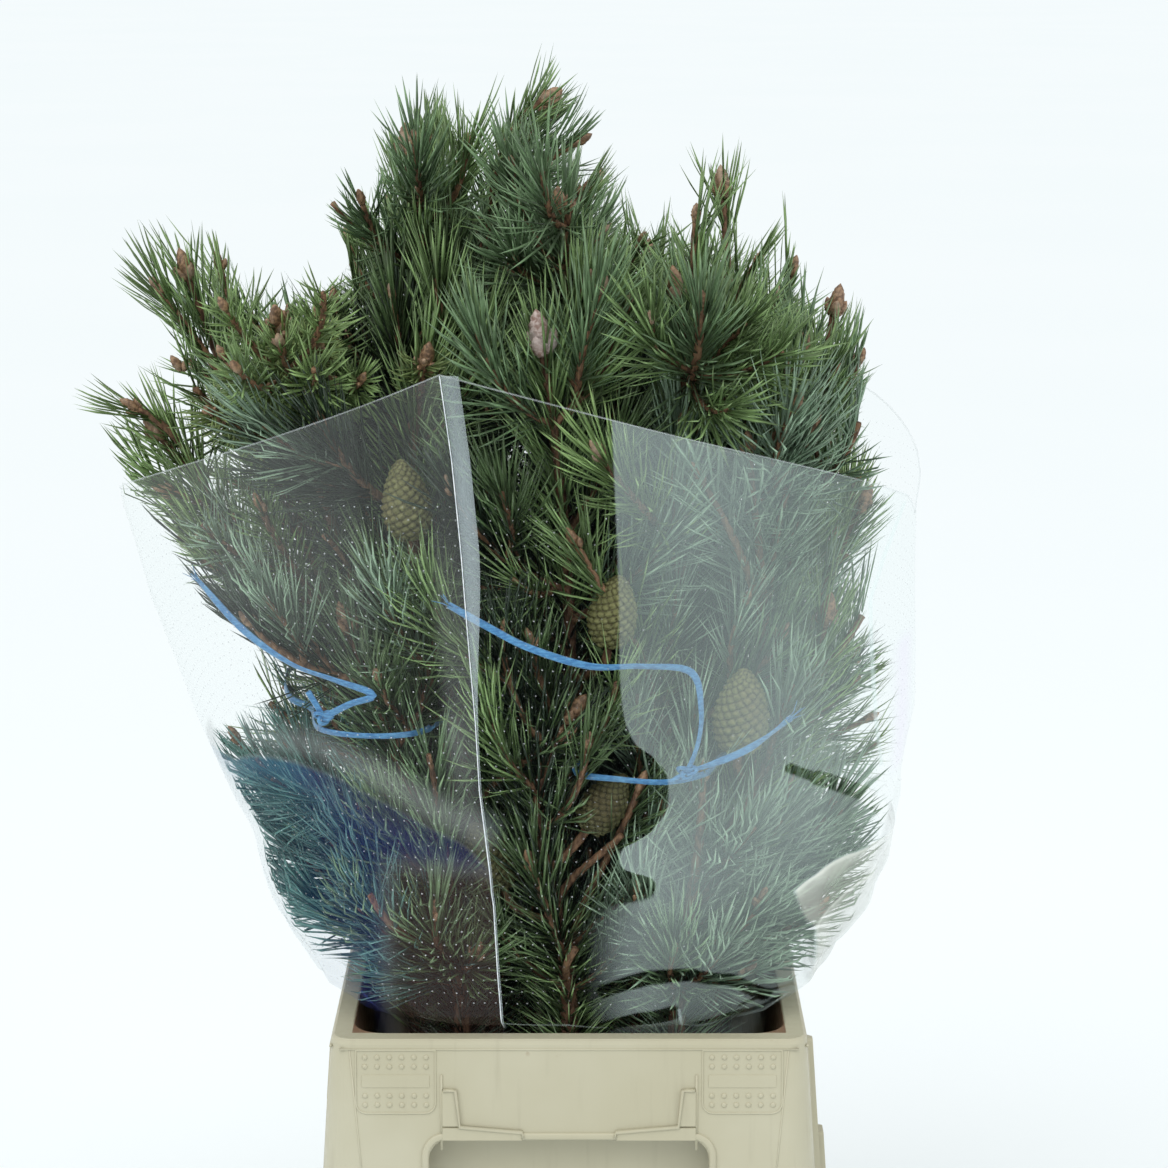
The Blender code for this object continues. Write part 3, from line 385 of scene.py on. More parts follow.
# Shoots set where the photo shows them: branch, height of the root, tip, its way, bare length, tone and style
ACCENTS = (
    (0, 0.69, (-0.164, -0.128, 0.772), (0.1, -0.85, 0.5), 0.022, "yellow", "rosette"),
    (0, 0.68, (-0.187, -0.138, 0.75), (-0.1, -0.9, 0.4), 0.022, "yellow", "rosette"),
    (0, 0.665, (-0.135, -0.138, 0.749), (0.15, -0.9, 0.4), 0.022, "bright", "rosette"),
    (0, 0.655, (-0.207, -0.132, 0.731), (-0.3, -0.8, 0.45), 0.022, "yellow", "rosette"),
    (0, 0.7, (-0.143, -0.134, 0.769), (0.2, -0.85, 0.5), 0.024, "yellow", "rosette"),
    (0, 0.68, (-0.119, -0.144, 0.751), (0.3, -0.85, 0.4), 0.026, "bright", "rosette"),
    (0, 0.67, (-0.171, -0.14, 0.746), (0.0, -0.9, 0.35), 0.024, "yellow", "rosette"),
    (0, 0.72, (-0.145, -0.118, 0.786), (0.15, -0.6, 0.8), 0.024, "bright", "rosette"),
    (1, 0.7, (-0.083, -0.146, 0.76), (0.1, -0.9, 0.4), 0.026, "yellow", "rosette"),
    (6, 0.64, (-0.262, -0.045, 0.719), (-0.9, -0.1, 0.45), 0.03, "bright", "long"),
    (6, 0.62, (-0.24, -0.07, 0.672), (-0.9, -0.2, 0.3), 0.03, "mid", "long"),
    (1, 0.455, (-0.004, -0.166, 0.545), (0.8, -0.15, 0.6), 0.03, "dim", "fan"),
    (18, 0.385, (0.041, -0.162, 0.514), (0.3, -0.1, 0.9), 0.092, "dim", "fan"),
    (18, 0.425, (0.031, -0.164, 0.486), (0.6, -0.2, 0.7), 0.0, "mid", "bare"),
    (18, 0.378, (0.004, -0.168, 0.418), (0.5, -0.2, 0.8), 0.0, "mid", "bare"),
    (18, 0.38, (-0.022, -0.172, 0.47), (-0.25, -0.1, 0.95), 0.014, "dim", "long"),
    (17, 0.465, (-0.188, -0.105, 0.516), (-0.4, 0.0, 0.9), 0.02, "teal", "long"),
    (9, 0.8, (-0.016, 0.022, 0.9), (0.85, 0.0, 0.6), 0.02, "mid", "long"),
    (9, 0.79, (0.004, 0.012, 0.874), (0.9, -0.1, 0.5), 0.02, "blue", "long"),
    (5, 0.7, (-0.25, -0.012, 0.786), (-0.55, 0.0, 0.8), 0.02, "mid", "long"),
    (6, 0.376, (-0.16, -0.055, 0.412), (-0.7, -0.1, 0.6), 0.004, "teal", "pressed"),
    (2, 0.48, (-0.022, -0.166, 0.6), (-0.2, -0.15, 0.95), 0.02, "dim", "long"),
    (3, 0.5, (0.004, -0.168, 0.66), (-0.45, -0.15, 0.85), 0.03, "mid", "long"),
    (3, 0.6, (0.018, -0.172, 0.712), (-0.5, -0.2, 0.8), 0.03, "bright", "long"),
    (17, 0.375, (-0.116, -0.172, 0.452), (-0.35, -0.1, 0.95), 0.01, "teal", "stem"),
    (17, 0.375, (-0.078, -0.174, 0.44), (0.1, -0.1, 0.95), 0.01, "blue", "long"),
    (17, 0.38, (-0.055, -0.172, 0.415), (0.3, -0.2, 0.9), 0.008, "dim", "long"),
    (4, 0.5, (0.076, -0.146, 0.694), (-0.5, -0.1, 0.85), 0.095, "sage", "sparse"),
    (4, 0.5, (0.104, -0.134, 0.709), (-0.1, 0.0, 1.0), 0.085, "sage", "sparse"),
    (4, 0.51, (0.135, -0.122, 0.707), (0.35, 0.0, 0.95), 0.085, "sage", "sparse"),
    (19, 0.374, (0.078, -0.158, 0.52), (0.0, 0.0, 1.0), 0.04, "sage", "stem"),
    (19, 0.372, (0.041, -0.172, 0.45), (-0.1, 0.0, 1.0), 0.014, "sage", "long"),
    (19, 0.415, (0.131, -0.122, 0.5), (0.1, 0.0, 1.0), 0.018, "sage", "long"),
    (19, 0.38, (0.112, -0.15, 0.44), (0.3, -0.1, 0.95), 0.014, "sage", "long"),
    (6, 0.38, (-0.184, -0.035, 0.452), (-0.45, -0.05, 0.9), 0.004, "teal", "pressed"),
    (6, 0.385, (-0.197, -0.01, 0.488), (-0.4, 0.0, 0.9), 0.01, "teal", "pressed"),
    (17, 0.376, (-0.154, -0.112, 0.43), (-0.55, -0.1, 0.8), 0.004, "teal", "pressed"),
    (17, 0.378, (-0.128, -0.148, 0.48), (-0.3, -0.1, 0.95), 0.01, "teal", "pressed"),
    (0, 0.385, (-0.16, -0.095, 0.515), (-0.35, -0.05, 0.95), 0.02, "teal", "pressed"),
    (5, 0.38, (-0.168, 0.035, 0.435), (-0.6, 0.1, 0.75), 0.004, "teal", "pressed"),
    (17, 0.372, (-0.1, -0.152, 0.398), (-0.45, -0.2, 0.75), 0.004, "teal", "pressed"),
    (19, 0.374, (0.148, -0.115, 0.425), (0.6, -0.1, 0.75), 0.006, "sage", "long"),
    (4, 0.385, (0.16, -0.08, 0.47), (0.45, -0.05, 0.9), 0.01, "sage", "long"),
    (12, 0.385, (0.16, -0.03, 0.45), (0.5, 0.0, 0.85), 0.006, "sage", "long"),
    (12, 0.38, (0.148, 0.02, 0.425), (0.7, 0.1, 0.7), 0.004, "mid", "long"),
    (19, 0.372, (0.104, -0.152, 0.398), (0.45, -0.2, 0.75), 0.004, "sage", "long"),
)

MOST_FACES = 190000
NEEDLE_BLOCK = 2000
FLOOR_SIDES = 64
FLOOR_RADIUS = 60.0
FLOOR_LEVEL = -0.0005


# Meshes and materials

def add_mesh(name, points, quads=(), tris=(), finish=None, smooth=True):
    """An object from arrays of points, four-sided faces and three-sided faces."""
    points = np.asarray(points, float).reshape(-1, 3)
    quads = np.asarray(quads, np.int32).reshape(-1, 4)
    tris = np.asarray(tris, np.int32).reshape(-1, 3)
    corners = np.concatenate([quads.ravel(), tris.ravel()]).astype(np.int32)
    starts = np.concatenate([np.arange(len(quads)) * 4, len(quads) * 4 + np.arange(len(tris)) * 3])
    mesh = bpy.data.meshes.new(name)
    mesh.vertices.add(len(points))
    mesh.vertices.foreach_set("co", points.ravel())
    mesh.loops.add(len(corners))
    mesh.loops.foreach_set("vertex_index", corners)
    mesh.polygons.add(len(starts))
    mesh.polygons.foreach_set("loop_start", starts.astype(np.int32))
    mesh.polygons.foreach_set("use_smooth", np.full(len(starts), smooth))
    mesh.update(calc_edges=True)
    thing = bpy.data.objects.new(name, mesh)
    bpy.context.scene.collection.objects.link(thing)
    if finish is not None:
        mesh.materials.append(finish)
    return thing


class Shape:
    """Points and faces gathered for one mesh."""

    def __init__(self):
        self.points = []
        self.quads = []
        self.tris = []
        self.count = 0

    def add(self, points, quads=(), tris=()):
        points = np.asarray(points, float).reshape(-1, 3)
        self.quads.append(np.asarray(quads, np.int64).reshape(-1, 4) + self.count)
        self.tris.append(np.asarray(tris, np.int64).reshape(-1, 3) + self.count)
        self.points.append(points)
        self.count += len(points)

    def add_tube(self, rings, foot, top):
        """A tube of closed rings of points, whose ends run in to a foot point and a top point."""
        rows, columns = np.shape(rings)[:2]
        self.add(np.vstack([np.reshape(rings, (-1, 3)), [foot], [top]]), grid_faces(rows, columns),
                 end_caps(rows, columns))

    def add_band(self, rings, ends="capped"):
        """Closed rings of points along a path, with ends that are capped flat, joined or left open."""
        rows, columns = np.shape(rings)[:2]
        i = np.arange(1, columns - 1)
        fan = np.stack([0 * i, i, i + 1], 1)
        caps = np.vstack([fan[:, ::-1], fan + (rows - 1) * columns])
        self.add(rings, grid_faces(rows, columns, ends == "joined"), caps if ends == "capped" else ())

    def build(self, name, finish, smooth=True, turned=False):
        thing = add_mesh(name, np.vstack(self.points), np.vstack(self.quads), np.vstack(self.tris),
                         finish, smooth)
        if turned:
            turn_out(thing.data)
        return thing


class Finish:
    """A material with its nodes."""

    def __init__(self, name):
        self.material = bpy.data.materials.new(name)
        self.material.use_nodes = True
        self.tree = self.material.node_tree
        self.shader = self.tree.nodes["Principled BSDF"]
        self.output = self.tree.nodes["Material Output"]

    def feed(self, socket, value):
        if isinstance(value, bpy.types.NodeSocket):
            self.tree.links.new(value, socket)
        elif isinstance(value, (tuple, list)) and len(value) == 3 and len(socket.default_value) == 4:
            socket.default_value = (*value, 1.0)
        else:
            socket.default_value = value

    def node(self, kind, inputs=None, **settings):
        made = self.tree.nodes.new("ShaderNode" + kind)
        for key, value in settings.items():
            setattr(made, key, value)
        for key, value in (inputs or {}).items():
            self.feed(made.inputs[key], value)
        return made

    def set(self, **values):
        """Sets the main shader's sockets; an underscore stands for a space."""
        for key, value in values.items():
            self.feed(self.shader.inputs[key.replace("_", " ")], value)

    def place(self):
        """The object's own X, Y and Z."""
        return self.node("SeparateXYZ", {0: self.node("TexCoord").outputs["Object"]}).outputs

    def calc(self, operation, a, b=0.0, clamp=False):
        return self.node("Math", {0: a, 1: b}, operation=operation, use_clamp=clamp).outputs[0]

    def plus(self, *terms):
        return functools.reduce(lambda a, b: self.calc("ADD", a, b), terms)

    def minus(self, a, b):
        return self.calc("SUBTRACT", a, b)

    def times(self, *factors):
        return functools.reduce(lambda a, b: self.calc("MULTIPLY", a, b), factors)

    def step(self, value, low, high, to_low=0.0, to_high=1.0):
        """Smooth step of a value between two places."""
        return self.node("MapRange", {"Value": value, "From Min": low, "From Max": high,
                                      "To Min": to_low, "To Max": to_high},
                         interpolation_type="SMOOTHSTEP").outputs[0]

    def mix(self, share, a, b):
        mixer = self.node("Mix", data_type="RGBA")
        for number, value in ((0, share), (6, a), (7, b)):
            self.feed(mixer.inputs[number], value)
        return mixer.outputs[2]

    def noise(self, scale, detail=3.0, stretch=None):
        place = self.node("TexCoord").outputs["Object"]
        if stretch is not None:
            place = self.node("Mapping", {"Vector": place, "Scale": stretch}).outputs[0]
        return self.node("TexNoise", {"Vector": place, "Scale": scale, "Detail": detail}).outputs["Fac"]

    def mottled(self, grain, grain_span, broad, broad_span, most, dark, light, patch):
        """Dark and light by a fine grain, with patches by a broad one, up to a share."""
        colour = self.mix(self.step(grain, *grain_span), dark, light)
        return self.mix(self.step(broad, *broad_span, 0.0, most), colour, patch)

    def curve(self, value, places, low, high):
        """A smooth curve through places given as (input, output), from a value in low to high."""
        share = self.node("MapRange", {"Value": value, "From Min": low, "From Max": high}).outputs[0]
        outs = [y for _, y in places]
        base, span = min(outs), max(outs) - min(outs)
        bend = self.node("FloatCurve", {"Value": share})
        spots = [((x - low) / (high - low), (y - base) / span) for x, y in sorted(places)]
        points = bend.mapping.curves[0].points
        points[0].location = spots[0]
        points[1].location = spots[-1]
        for spot in spots[1:-1]:
            points.new(*spot)
        bend.mapping.update()
        return self.node("MapRange", {"Value": bend.outputs[0], "To Min": base,
                                      "To Max": base + span}).outputs[0]

    def line_level(self, x, z, line, half, soft):
        """1 on a broken line in X and Z, and 0 from its half width on."""
        gap = None
        for (ax, az), (bx, bz) in zip(line, line[1:]):
            dx, dz = bx - ax, bz - az
            size = dx * dx + dz * dz
            px, pz = self.minus(x, ax), self.minus(z, az)
            along = self.calc("ADD", self.times(px, dx / size), self.times(pz, dz / size), clamp=True)
            qx = self.minus(px, self.times(along, dx))
            qz = self.minus(pz, self.times(along, dz))
            near = self.calc("SQRT", self.plus(self.times(qx, qx), self.times(qz, qz)))
            gap = near if gap is None else self.calc("MINIMUM", gap, near)
        return self.step(gap, half, max(half - soft, 0.0))

    def bump(self, height, strength, distance):
        made = self.node("Bump", {"Height": height, "Strength": strength, "Distance": distance})
        self.feed(self.shader.inputs["Normal"], made.outputs[0])

    def show(self, share, over=None):
        """A mix of clear and the main shader by share, and of that and another by a second share."""
        mixed = self.node("MixShader", {0: share, 1: self.node("BsdfTransparent").outputs[0],
                                        2: self.shader.outputs[0]})
        if over is not None:
            second, shader = over
            mixed = self.node("MixShader", {0: second, 1: mixed.outputs[0], 2: shader.outputs[0]})
        self.tree.links.new(mixed.outputs[0], self.output.inputs["Surface"])
        return self.material


def ride(thing, slot, *nodes):
    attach(thing, "root")
    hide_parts(*nodes)


def turn_out(mesh):
    """Makes all faces of a mesh point out."""
    shape = bmesh.new()
    shape.from_mesh(mesh)
    bmesh.ops.recalc_face_normals(shape, faces=shape.faces)
    shape.to_mesh(mesh)
    shape.free()


def blend(a, b, t):
    return a + (b - a) * t


def smooth(value, low, high):
    share = np.clip((value - low) / (high - low), 0.0, 1.0)
    return share * share * (3.0 - 2.0 * share)


def unit(rows):
    return rows / np.linalg.norm(rows, axis=1)[:, None]


def as_array(path):
    return np.array([tuple(point) for point in path])


def turns(count):
    """Even angles of a full turn."""
    return np.arange(count) * 2 * math.pi / count


def grid_faces(rows, columns, joined=False):
    """Quads between closed rows of points; joined takes the last row on to the first."""
    r = np.arange(rows if joined else rows - 1)[:, None]
    c = np.arange(columns)[None, :]
    d = (c + 1) % columns
    up = (r + 1) % rows
    quads = np.stack([r * columns + c, r * columns + d, up * columns + d, up * columns + c], -1)
    return quads.reshape(-1, 4)


def end_caps(rows, columns):
    """Triangles from a tube's first ring to the point after its rings, and from its last to the next."""
    j = np.arange(columns)
    k = (j + 1) % columns
    last = (rows - 1) * columns
    foot = np.full(columns, rows * columns)
    return np.vstack([np.stack([foot, k, j], 1), np.stack([foot + 1, last + j, last + k], 1)])


def round_rings(centres, side, other, reach, turn):
    """Rings round centres: sideways vectors, and the reach and turn of each point."""
    return (centres[:, None, :] + side * (reach * np.cos(turn))[:, :, None]
            + other * (reach * np.sin(turn))[:, :, None])


# Film surface

def film_section(height):
    """Half width, half depth, middle in X and squareness of the film at a height."""
    return [np.interp(height, FILM_TABLE[:, 0], FILM_TABLE[:, k]) for k in (1, 2, 3, 4)]


def film_radius(angle, height):
    """Outer radius of the film and its middle in X, at an angle round it and a height."""
    half_x, half_y, middle, power = film_section(height)
    across = np.abs(np.cos(angle)) / half_x
    along = np.abs(np.sin(angle)) / half_y
    return (across ** power + along ** power) ** (-1.0 / power), middle


def film_top(angle):
    """Height of the film's upper edge: a peak at the front and back seams, lowest at the sides."""
    turn = (angle - FILM_SEAM + math.pi / 2) % math.pi - math.pi / 2
    front = np.cos(angle - FILM_SEAM) > 0
    leftward = np.where(front, turn < 0, turn > 0)
    drop = np.where(leftward, FILM_DROP["left"], FILM_DROP["right"])
    share = np.clip(1.0 - np.abs(turn) / (math.pi / 2), 0.0, 1.0)
    return FILM_SIDE_TOP + FILM_PEAK * share ** drop


def film_front(x, height, inset):
    """Y just inside the front of the film, at a place seen from the front."""
    half_x, half_y, middle, power = film_section(height)
    share = min(abs(x - middle) / half_x, 0.98)
    return -half_y * (1.0 - share ** power) ** (1.0 / power) + inset


# The growth rule of the solids, with the same seed

def bezier(a, b, c, d, count):
    path = []
    for i in range(count + 1):
        t = i / count
        s = 1.0 - t
        path.append(a * s ** 3 + b * 3 * s * s * t + c * 3 * s * t * t + d * t ** 3)
    return path


def resample(path, spacing):
    """Even points along a path, with its two ends kept."""
    lengths = [0.0]
    for a, b in zip(path, path[1:]):
        lengths.append(lengths[-1] + (b - a).length)
    count = max(2, round(lengths[-1] / spacing))
    points = []
    k = 0
    for i in range(count + 1):
        want = lengths[-1] * i / count
        while k < len(path) - 2 and lengths[k + 1] < want:
            k += 1
        share = (want - lengths[k]) / max(lengths[k + 1] - lengths[k], 1e-9)
        points.append(path[k].lerp(path[k + 1], min(max(share, 0.0), 1.0)))
    return points


def branch_path(branch):
    """Foot, straight rise to the neck, then a curve to the tip."""
    (neck_x, neck_y), tip, (lean_x, lean_y) = branch
    neck = Vector((neck_x, neck_y, BUCKET_HEIGHT))
    foot = Vector((neck_x * FOOT_SPREAD, neck_y * FOOT_SPREAD, BUCKET_FLOOR + GAP))
    tip = Vector(tip)
    reach = (tip - neck).length
    start = (neck - foot).normalized()
    end = Vector((lean_x, lean_y, 1.0)).normalized()
    curve = bezier(neck, neck + start * 0.4 * reach, tip - end * 0.38 * reach, tip, 40)
    return foot, curve


def nearest(points, cloud):
    """Distance from each point to the nearest point of a cloud."""
    if len(cloud) == 0:
        return np.full(len(points), 1.0)
    gaps = points[:, None, :] - cloud[None, :, :]
    return np.sqrt((gaps ** 2).sum(axis=2)).min(axis=1)


def round_film(points):
    """Each point's angle round the film, its reach from the film's middle, and that middle in X."""
    middle = film_section(points[:, 2])[2]
    x = points[:, 0] - middle
    return np.arctan2(points[:, 1], x), np.hypot(x, points[:, 1]), middle


def film_room(points):
    """How far inside the film each point is; large above the film's upper edge."""
    heights = points[:, 2]
    angle, reach, _ = round_film(points)
    room = film_radius(angle, heights)[0] - FILM_THICK - reach
    return np.where(heights > film_top(angle) + 0.016, 1.0, room)


def skyline_room(points):
    """How far under the crown's outline each point is."""
    places = np.array(SKYLINE)
    high = np.interp(points[:, 0], places[:, 0], places[:, 1], left=0.0, right=0.0)
    return high - points[:, 2] - SIGHT_DROP * points[:, 1]


def cone_ends(cone):
    _, middle, way, length, _ = cone
    way = Vector(way).normalized()
    return Vector(middle) - way * length / 2, Vector(middle) + way * length / 2, way


def cone_room(points):
    """How far outside every cone each point is."""
    room = np.full(len(points), 1.0)
    for cone in CONES:
        foot, top, _ = cone_ends(cone)
        a = np.array(foot)
        b = np.array(top)
        along = b - a
        share = np.clip(((points - a) @ along) / (along @ along), 0.0, 1.0)
        gaps = np.linalg.norm(points - a - share[:, None] * along, axis=1)
        room = np.minimum(room, gaps - cone[4])
    return room


def as_cloud(path, spacing=0.004):
    return as_array(resample(path, spacing))


def tie_paths(tie):
    """The closed loop round a bunch, and the open tails that start at its knot."""
    mx, my, mz = tie["middle"]
    hx, hy = tie["half"]
    loop = []
    for i in range(LOOP_POINTS):
        angle = 2 * math.pi * i / LOOP_POINTS
        x = mx + hx * math.cos(angle)
        y = my + hy * math.sin(angle)
        z = mz + tie["tilt"] * (y - my)
        if y < my:
            y = max(y, film_front(x, z, tie["inset"]))
        loop.append(Vector((x, y, z)))
    return loop, [on_film_front(tail, tie) for tail in tie["tails"]]


def on_film_front(places, tie):
    """Places in X and Z, set just inside the front of the film."""
    return [Vector((x, film_front(x, z, tie["inset"]), z)) for x, z in places]


def has_room(cloud, twine_cloud, rim, film, skyline, cones, twine, slack=0.0):
    """True for points that keep clear of the rim, the film, the skyline, the cones and the twine."""
    return (cloud[:, 2].min() > BUCKET_HEIGHT + rim
            and (film_room(cloud) + slack).min() > film
            and skyline_room(cloud).min() > skyline
            and cone_room(cloud).min() > cones
            and nearest(cloud, twine_cloud).min() > twine)


def grow_shoots(curves, twine_cloud):
    """Side shoots of every branch: a seeded try is kept where it has room from all the others."""
    clouds = [as_cloud(curve, 0.006) for curve in curves]
    grown = [[] for _ in curves]
    outer = [np.zeros((0, 3)) for _ in curves]
    rng = random.Random(SEED)
    for _ in range(SHOOT_TRIES):
        for number, curve in enumerate(curves):
            if len(grown[number]) >= SHOOTS_EACH:
                continue
            shoot = try_shoot(rng, curve)
            cloud = as_cloud(shoot, 0.006)
            others = np.vstack([clouds[k] for k in range(len(curves)) if k != number])
            if (nearest(cloud[4:], others).min() > SHOOT_CLEAR * 0.8
                    and nearest(cloud[4:], np.vstack(outer)).min() > SHOOT_CLEAR
                    and nearest(cloud[-1:], clouds[number]).min() > SHOOT_OUT
                    and has_room(cloud, twine_cloud, *SHOOT_ROOM)):
                grown[number].append(shoot)
                outer[number] = np.vstack([outer[number], cloud[3:]])
    return grown


def accent_path(accent, curve):
    """A listed shoot, that leaves its branch forward and ends the way it is given."""
    _, height, tip, way, _, _, _ = accent
    place = next(i for i, point in enumerate(curve) if point.z > height)
    root = curve[place]
    tip = Vector(tip)
    ahead = (curve[place] - curve[place - 1]).normalized()
    reach = (tip - root).length
    return bezier(root, root + ahead * 0.35 * reach, tip - Vector(way).normalized() * 0.4 * reach, tip, 10)


def grow_fine(curves, grown, accents, twine_cloud):
    """Finer shoots by the same rule, on the branches and on their side shoots, in the room left."""
    rng = random.Random(SEED + 1)
    fine = [[] for _ in curves]
    taken = np.vstack([as_cloud(curve, 0.007) for curve in curves]
                      + [as_cloud(shoot, 0.007)[2:] for shoots in grown for shoot in shoots]
                      + [as_cloud(shoot, 0.007)[3:] for shoot in accents])
    for tries, most, from_side, shares, lengths, clear, rise in FINE_PASSES:
        limits = [len(paths) + most / THIN.get(number, 1.0) ** 2 for number, paths in enumerate(fine)]
        for _ in range(tries):
            for number, curve in enumerate(curves):
                if len(fine[number]) >= limits[number]:
                    continue
                parents = [curve] + (grown[number] if from_side else [])
                parent = parents[rng.randrange(len(parents))]
                path = fine_shoot(rng, parent, shares, lengths, rise)
                cloud = as_cloud(path, 0.007)
                slack = film_slack(np.arctan2(cloud[:, 1], cloud[:, 0]), cloud[:, 2])
                if (np.abs(cloud[:, 1]).max() < REACH_DEPTH
                        and nearest(cloud[5:], taken).min() > clear
                        and has_room(cloud, twine_cloud, *FINE_ROOM, slack)):
                    fine[number].append(path)
                    taken = np.vstack([taken, cloud[2:]])
    return fine


def leave(rng, path, share):
    """Where a shoot leaves a path: its root, the path's way there and a random sideways vector."""
    place = share * (len(path) - 1)
    k = int(place)
    axis = (path[k + 1] - path[k]).normalized()
    side = axis.orthogonal().normalized()
    turn = rng.uniform(0.0, 2 * math.pi)
    side = side * math.cos(turn) + axis.cross(side) * math.sin(turn)
    return path[k].lerp(path[k + 1], place - k), axis, side


def walk(root, axis, side, length, angles, steps, lift=None):
    """A path of even steps that turns from a wide angle toward its axis, and toward a lift if it has one."""
    path = [root]
    for i in range(steps):
        share = i / (steps - 1)
        angle = math.radians(blend(*angles, share))
        heading = axis * math.cos(angle) + side * math.sin(angle)
        if lift is not None:
            heading = heading.lerp(lift, 0.12 + 0.3 * share)
        path.append(path[-1] + heading.normalized() * length / steps)
    return path


def try_shoot(rng, curve):
    """A shoot that leaves the branch at a wide angle and turns up along it."""
    share = rng.uniform(0.16, 0.9)
    root, axis, side = leave(rng, curve, share)
    length = blend(*SHOOT_LENGTH, share) * rng.uniform(0.85, 1.1)
    return walk(root, axis, side, length, (62.0, 22.0), 10)


def fine_shoot(rng, parent, shares, lengths, rise):
    """A short shoot from a path, that leaves at a wide angle and turns forward, up and out."""
    root, axis, side = leave(rng, parent, rng.uniform(*shares))
    lift = Vector((root.x * 1.5, root.y * 1.5, rise)).normalized()
    return walk(root, axis, side, rng.uniform(*lengths), (60.0, 20.0), 8, lift)


def cone_spur(cone, curve):
    """A short twig from the branch to the cone's foot."""
    foot, _, way = cone_ends(cone)
    below = foot - way * 0.018
    start = below - Vector((0, 0, 0.012))
    root = min(curve, key=lambda point: (point - start).length)
    return [root, root.lerp(below, 0.6), foot - way * 0.012, foot + way * 0.003]


# Tubes

def frame_arrays(path):
    """Points, directions, turning-free sideways vectors and third vectors of a path, as arrays."""
    ways = []
    sides = []
    for i in range(len(path)):
        ahead = (path[min(i + 1, len(path) - 1)] - path[max(i - 1, 0)]).normalized()
        side = sides[-1] if sides else ahead.orthogonal()
        sides.append((side - ahead * side.dot(ahead)).normalized())
        ways.append(ahead)
    ahead = as_array(ways)
    side = as_array(sides)
    return as_array(path), ahead, side, np.cross(ahead, side)


def sweep(shape, path, radii, sides, relief=1.0, flat=1.0):
    """Adds a closed tube to a shape; relief scales each point's radius, flat squeezes the section."""
    centres, _, side, other = frame_arrays(path)
    reach = np.asarray(radii, float)[:, None] * np.broadcast_to(relief, (len(path), sides))
    rings = round_rings(centres, side[:, None, :], other[:, None, :] * flat, reach, turns(sides))
    shape.add_tube(rings, centres[0], centres[-1])


def bark_relief(rng, rings, sides, depth):
    """Staggered bumps of old needle bases, with some unevenness."""
    i = np.arange(rings)[:, None]
    j = np.arange(sides)[None, :]
    return 1.0 + depth * ((i + j) % 2) + rng.uniform(-0.5, 0.5, (rings, sides)) * depth


# Needles

def path_length(path):
    return sum((b - a).length for a, b in zip(path, path[1:]))


def shoot_needles(needles, rng, path, bare, tone, length_range=NEEDLE_LENGTH, splay=NEEDLE_SPLAY,
                  step=PAIR_STEP, thickness=0.002, kind="bent", stop=0.0):
    """Pairs of needles round a shoot, in a spiral, from a bare length up to its bud or a stop below it."""
    total = path_length(path)
    if total <= bare + stop + 0.01:
        return
    fine = resample(path, 0.003)
    centres, ahead, side, other = frame_arrays(fine)
    spots = np.arange(bare, total - stop, step)
    count = len(spots)
    spots = spots + rng.uniform(-0.4, 0.4, count) * step
    where = np.clip(spots / total, 0.0, 1.0) * (len(fine) - 1)
    k = np.minimum(where.astype(int), len(fine) - 2)
    part = (where - k)[:, None]
    middle = centres[k] * (1 - part) + centres[k + 1] * part
    along = ahead[k]
    turn = np.arange(count) * GOLDEN + rng.uniform(-0.35, 0.35, count)
    radial = side[k] * np.cos(turn)[:, None] + other[k] * np.sin(turn)[:, None]
    around = np.cross(along, radial)
    to_tip = np.clip((total - spots) / SPLAY_ZONE, 0.0, 1.0)
    lean = blend(*splay, to_tip ** 0.8) + rng.normal(0.0, SPLAY_SPREAD, count)
    way = along * np.cos(lean)[:, None] + radial * np.sin(lean)[:, None]
    way = unit(way + rng.normal(0.0, 0.05, way.shape))
    length = rng.uniform(*length_range, count)
    length *= 0.86 + 0.14 * np.clip((total - spots) / 0.02, 0.0, 1.0)
    twist = rng.uniform(-0.9, 0.9, count)[:, None]
    across = around * np.cos(twist) + np.cross(way, around) * np.sin(twist)
    for sign in (1.0, -1.0):
        spread = math.tan(PAIR_SPREAD) * rng.uniform(0.5, 1.4, count)[:, None]
        one = unit(way + across * sign * spread)
        bend = along * rng.uniform(0.0, 0.1, count)[:, None] + across * sign * 0.03
        bend = bend + np.array([0.0, 0.0, NEEDLE_RISE])
        bend = bend + rng.normal(0.0, 0.02, bend.shape)
        base = middle + radial * thickness * 0.8 + across * sign * 0.0004
        needles[tone, kind].append(np.hstack([base, one, bend * length[:, None], across * sign,
                                              length[:, None]]))


def pull_inside(points, margin):
    """Moves points that stand out of the film back to a margin inside it."""
    x, y, heights = points.T
    angle, reach, middle = round_film(points)
    reach = np.maximum(reach, 1e-6)
    over = np.clip(margin - film_room(points) - film_slack(angle, heights), 0.0, None)
    share = (reach - over) / reach
    return np.stack([middle + (x - middle) * share, y * share, heights], 1)


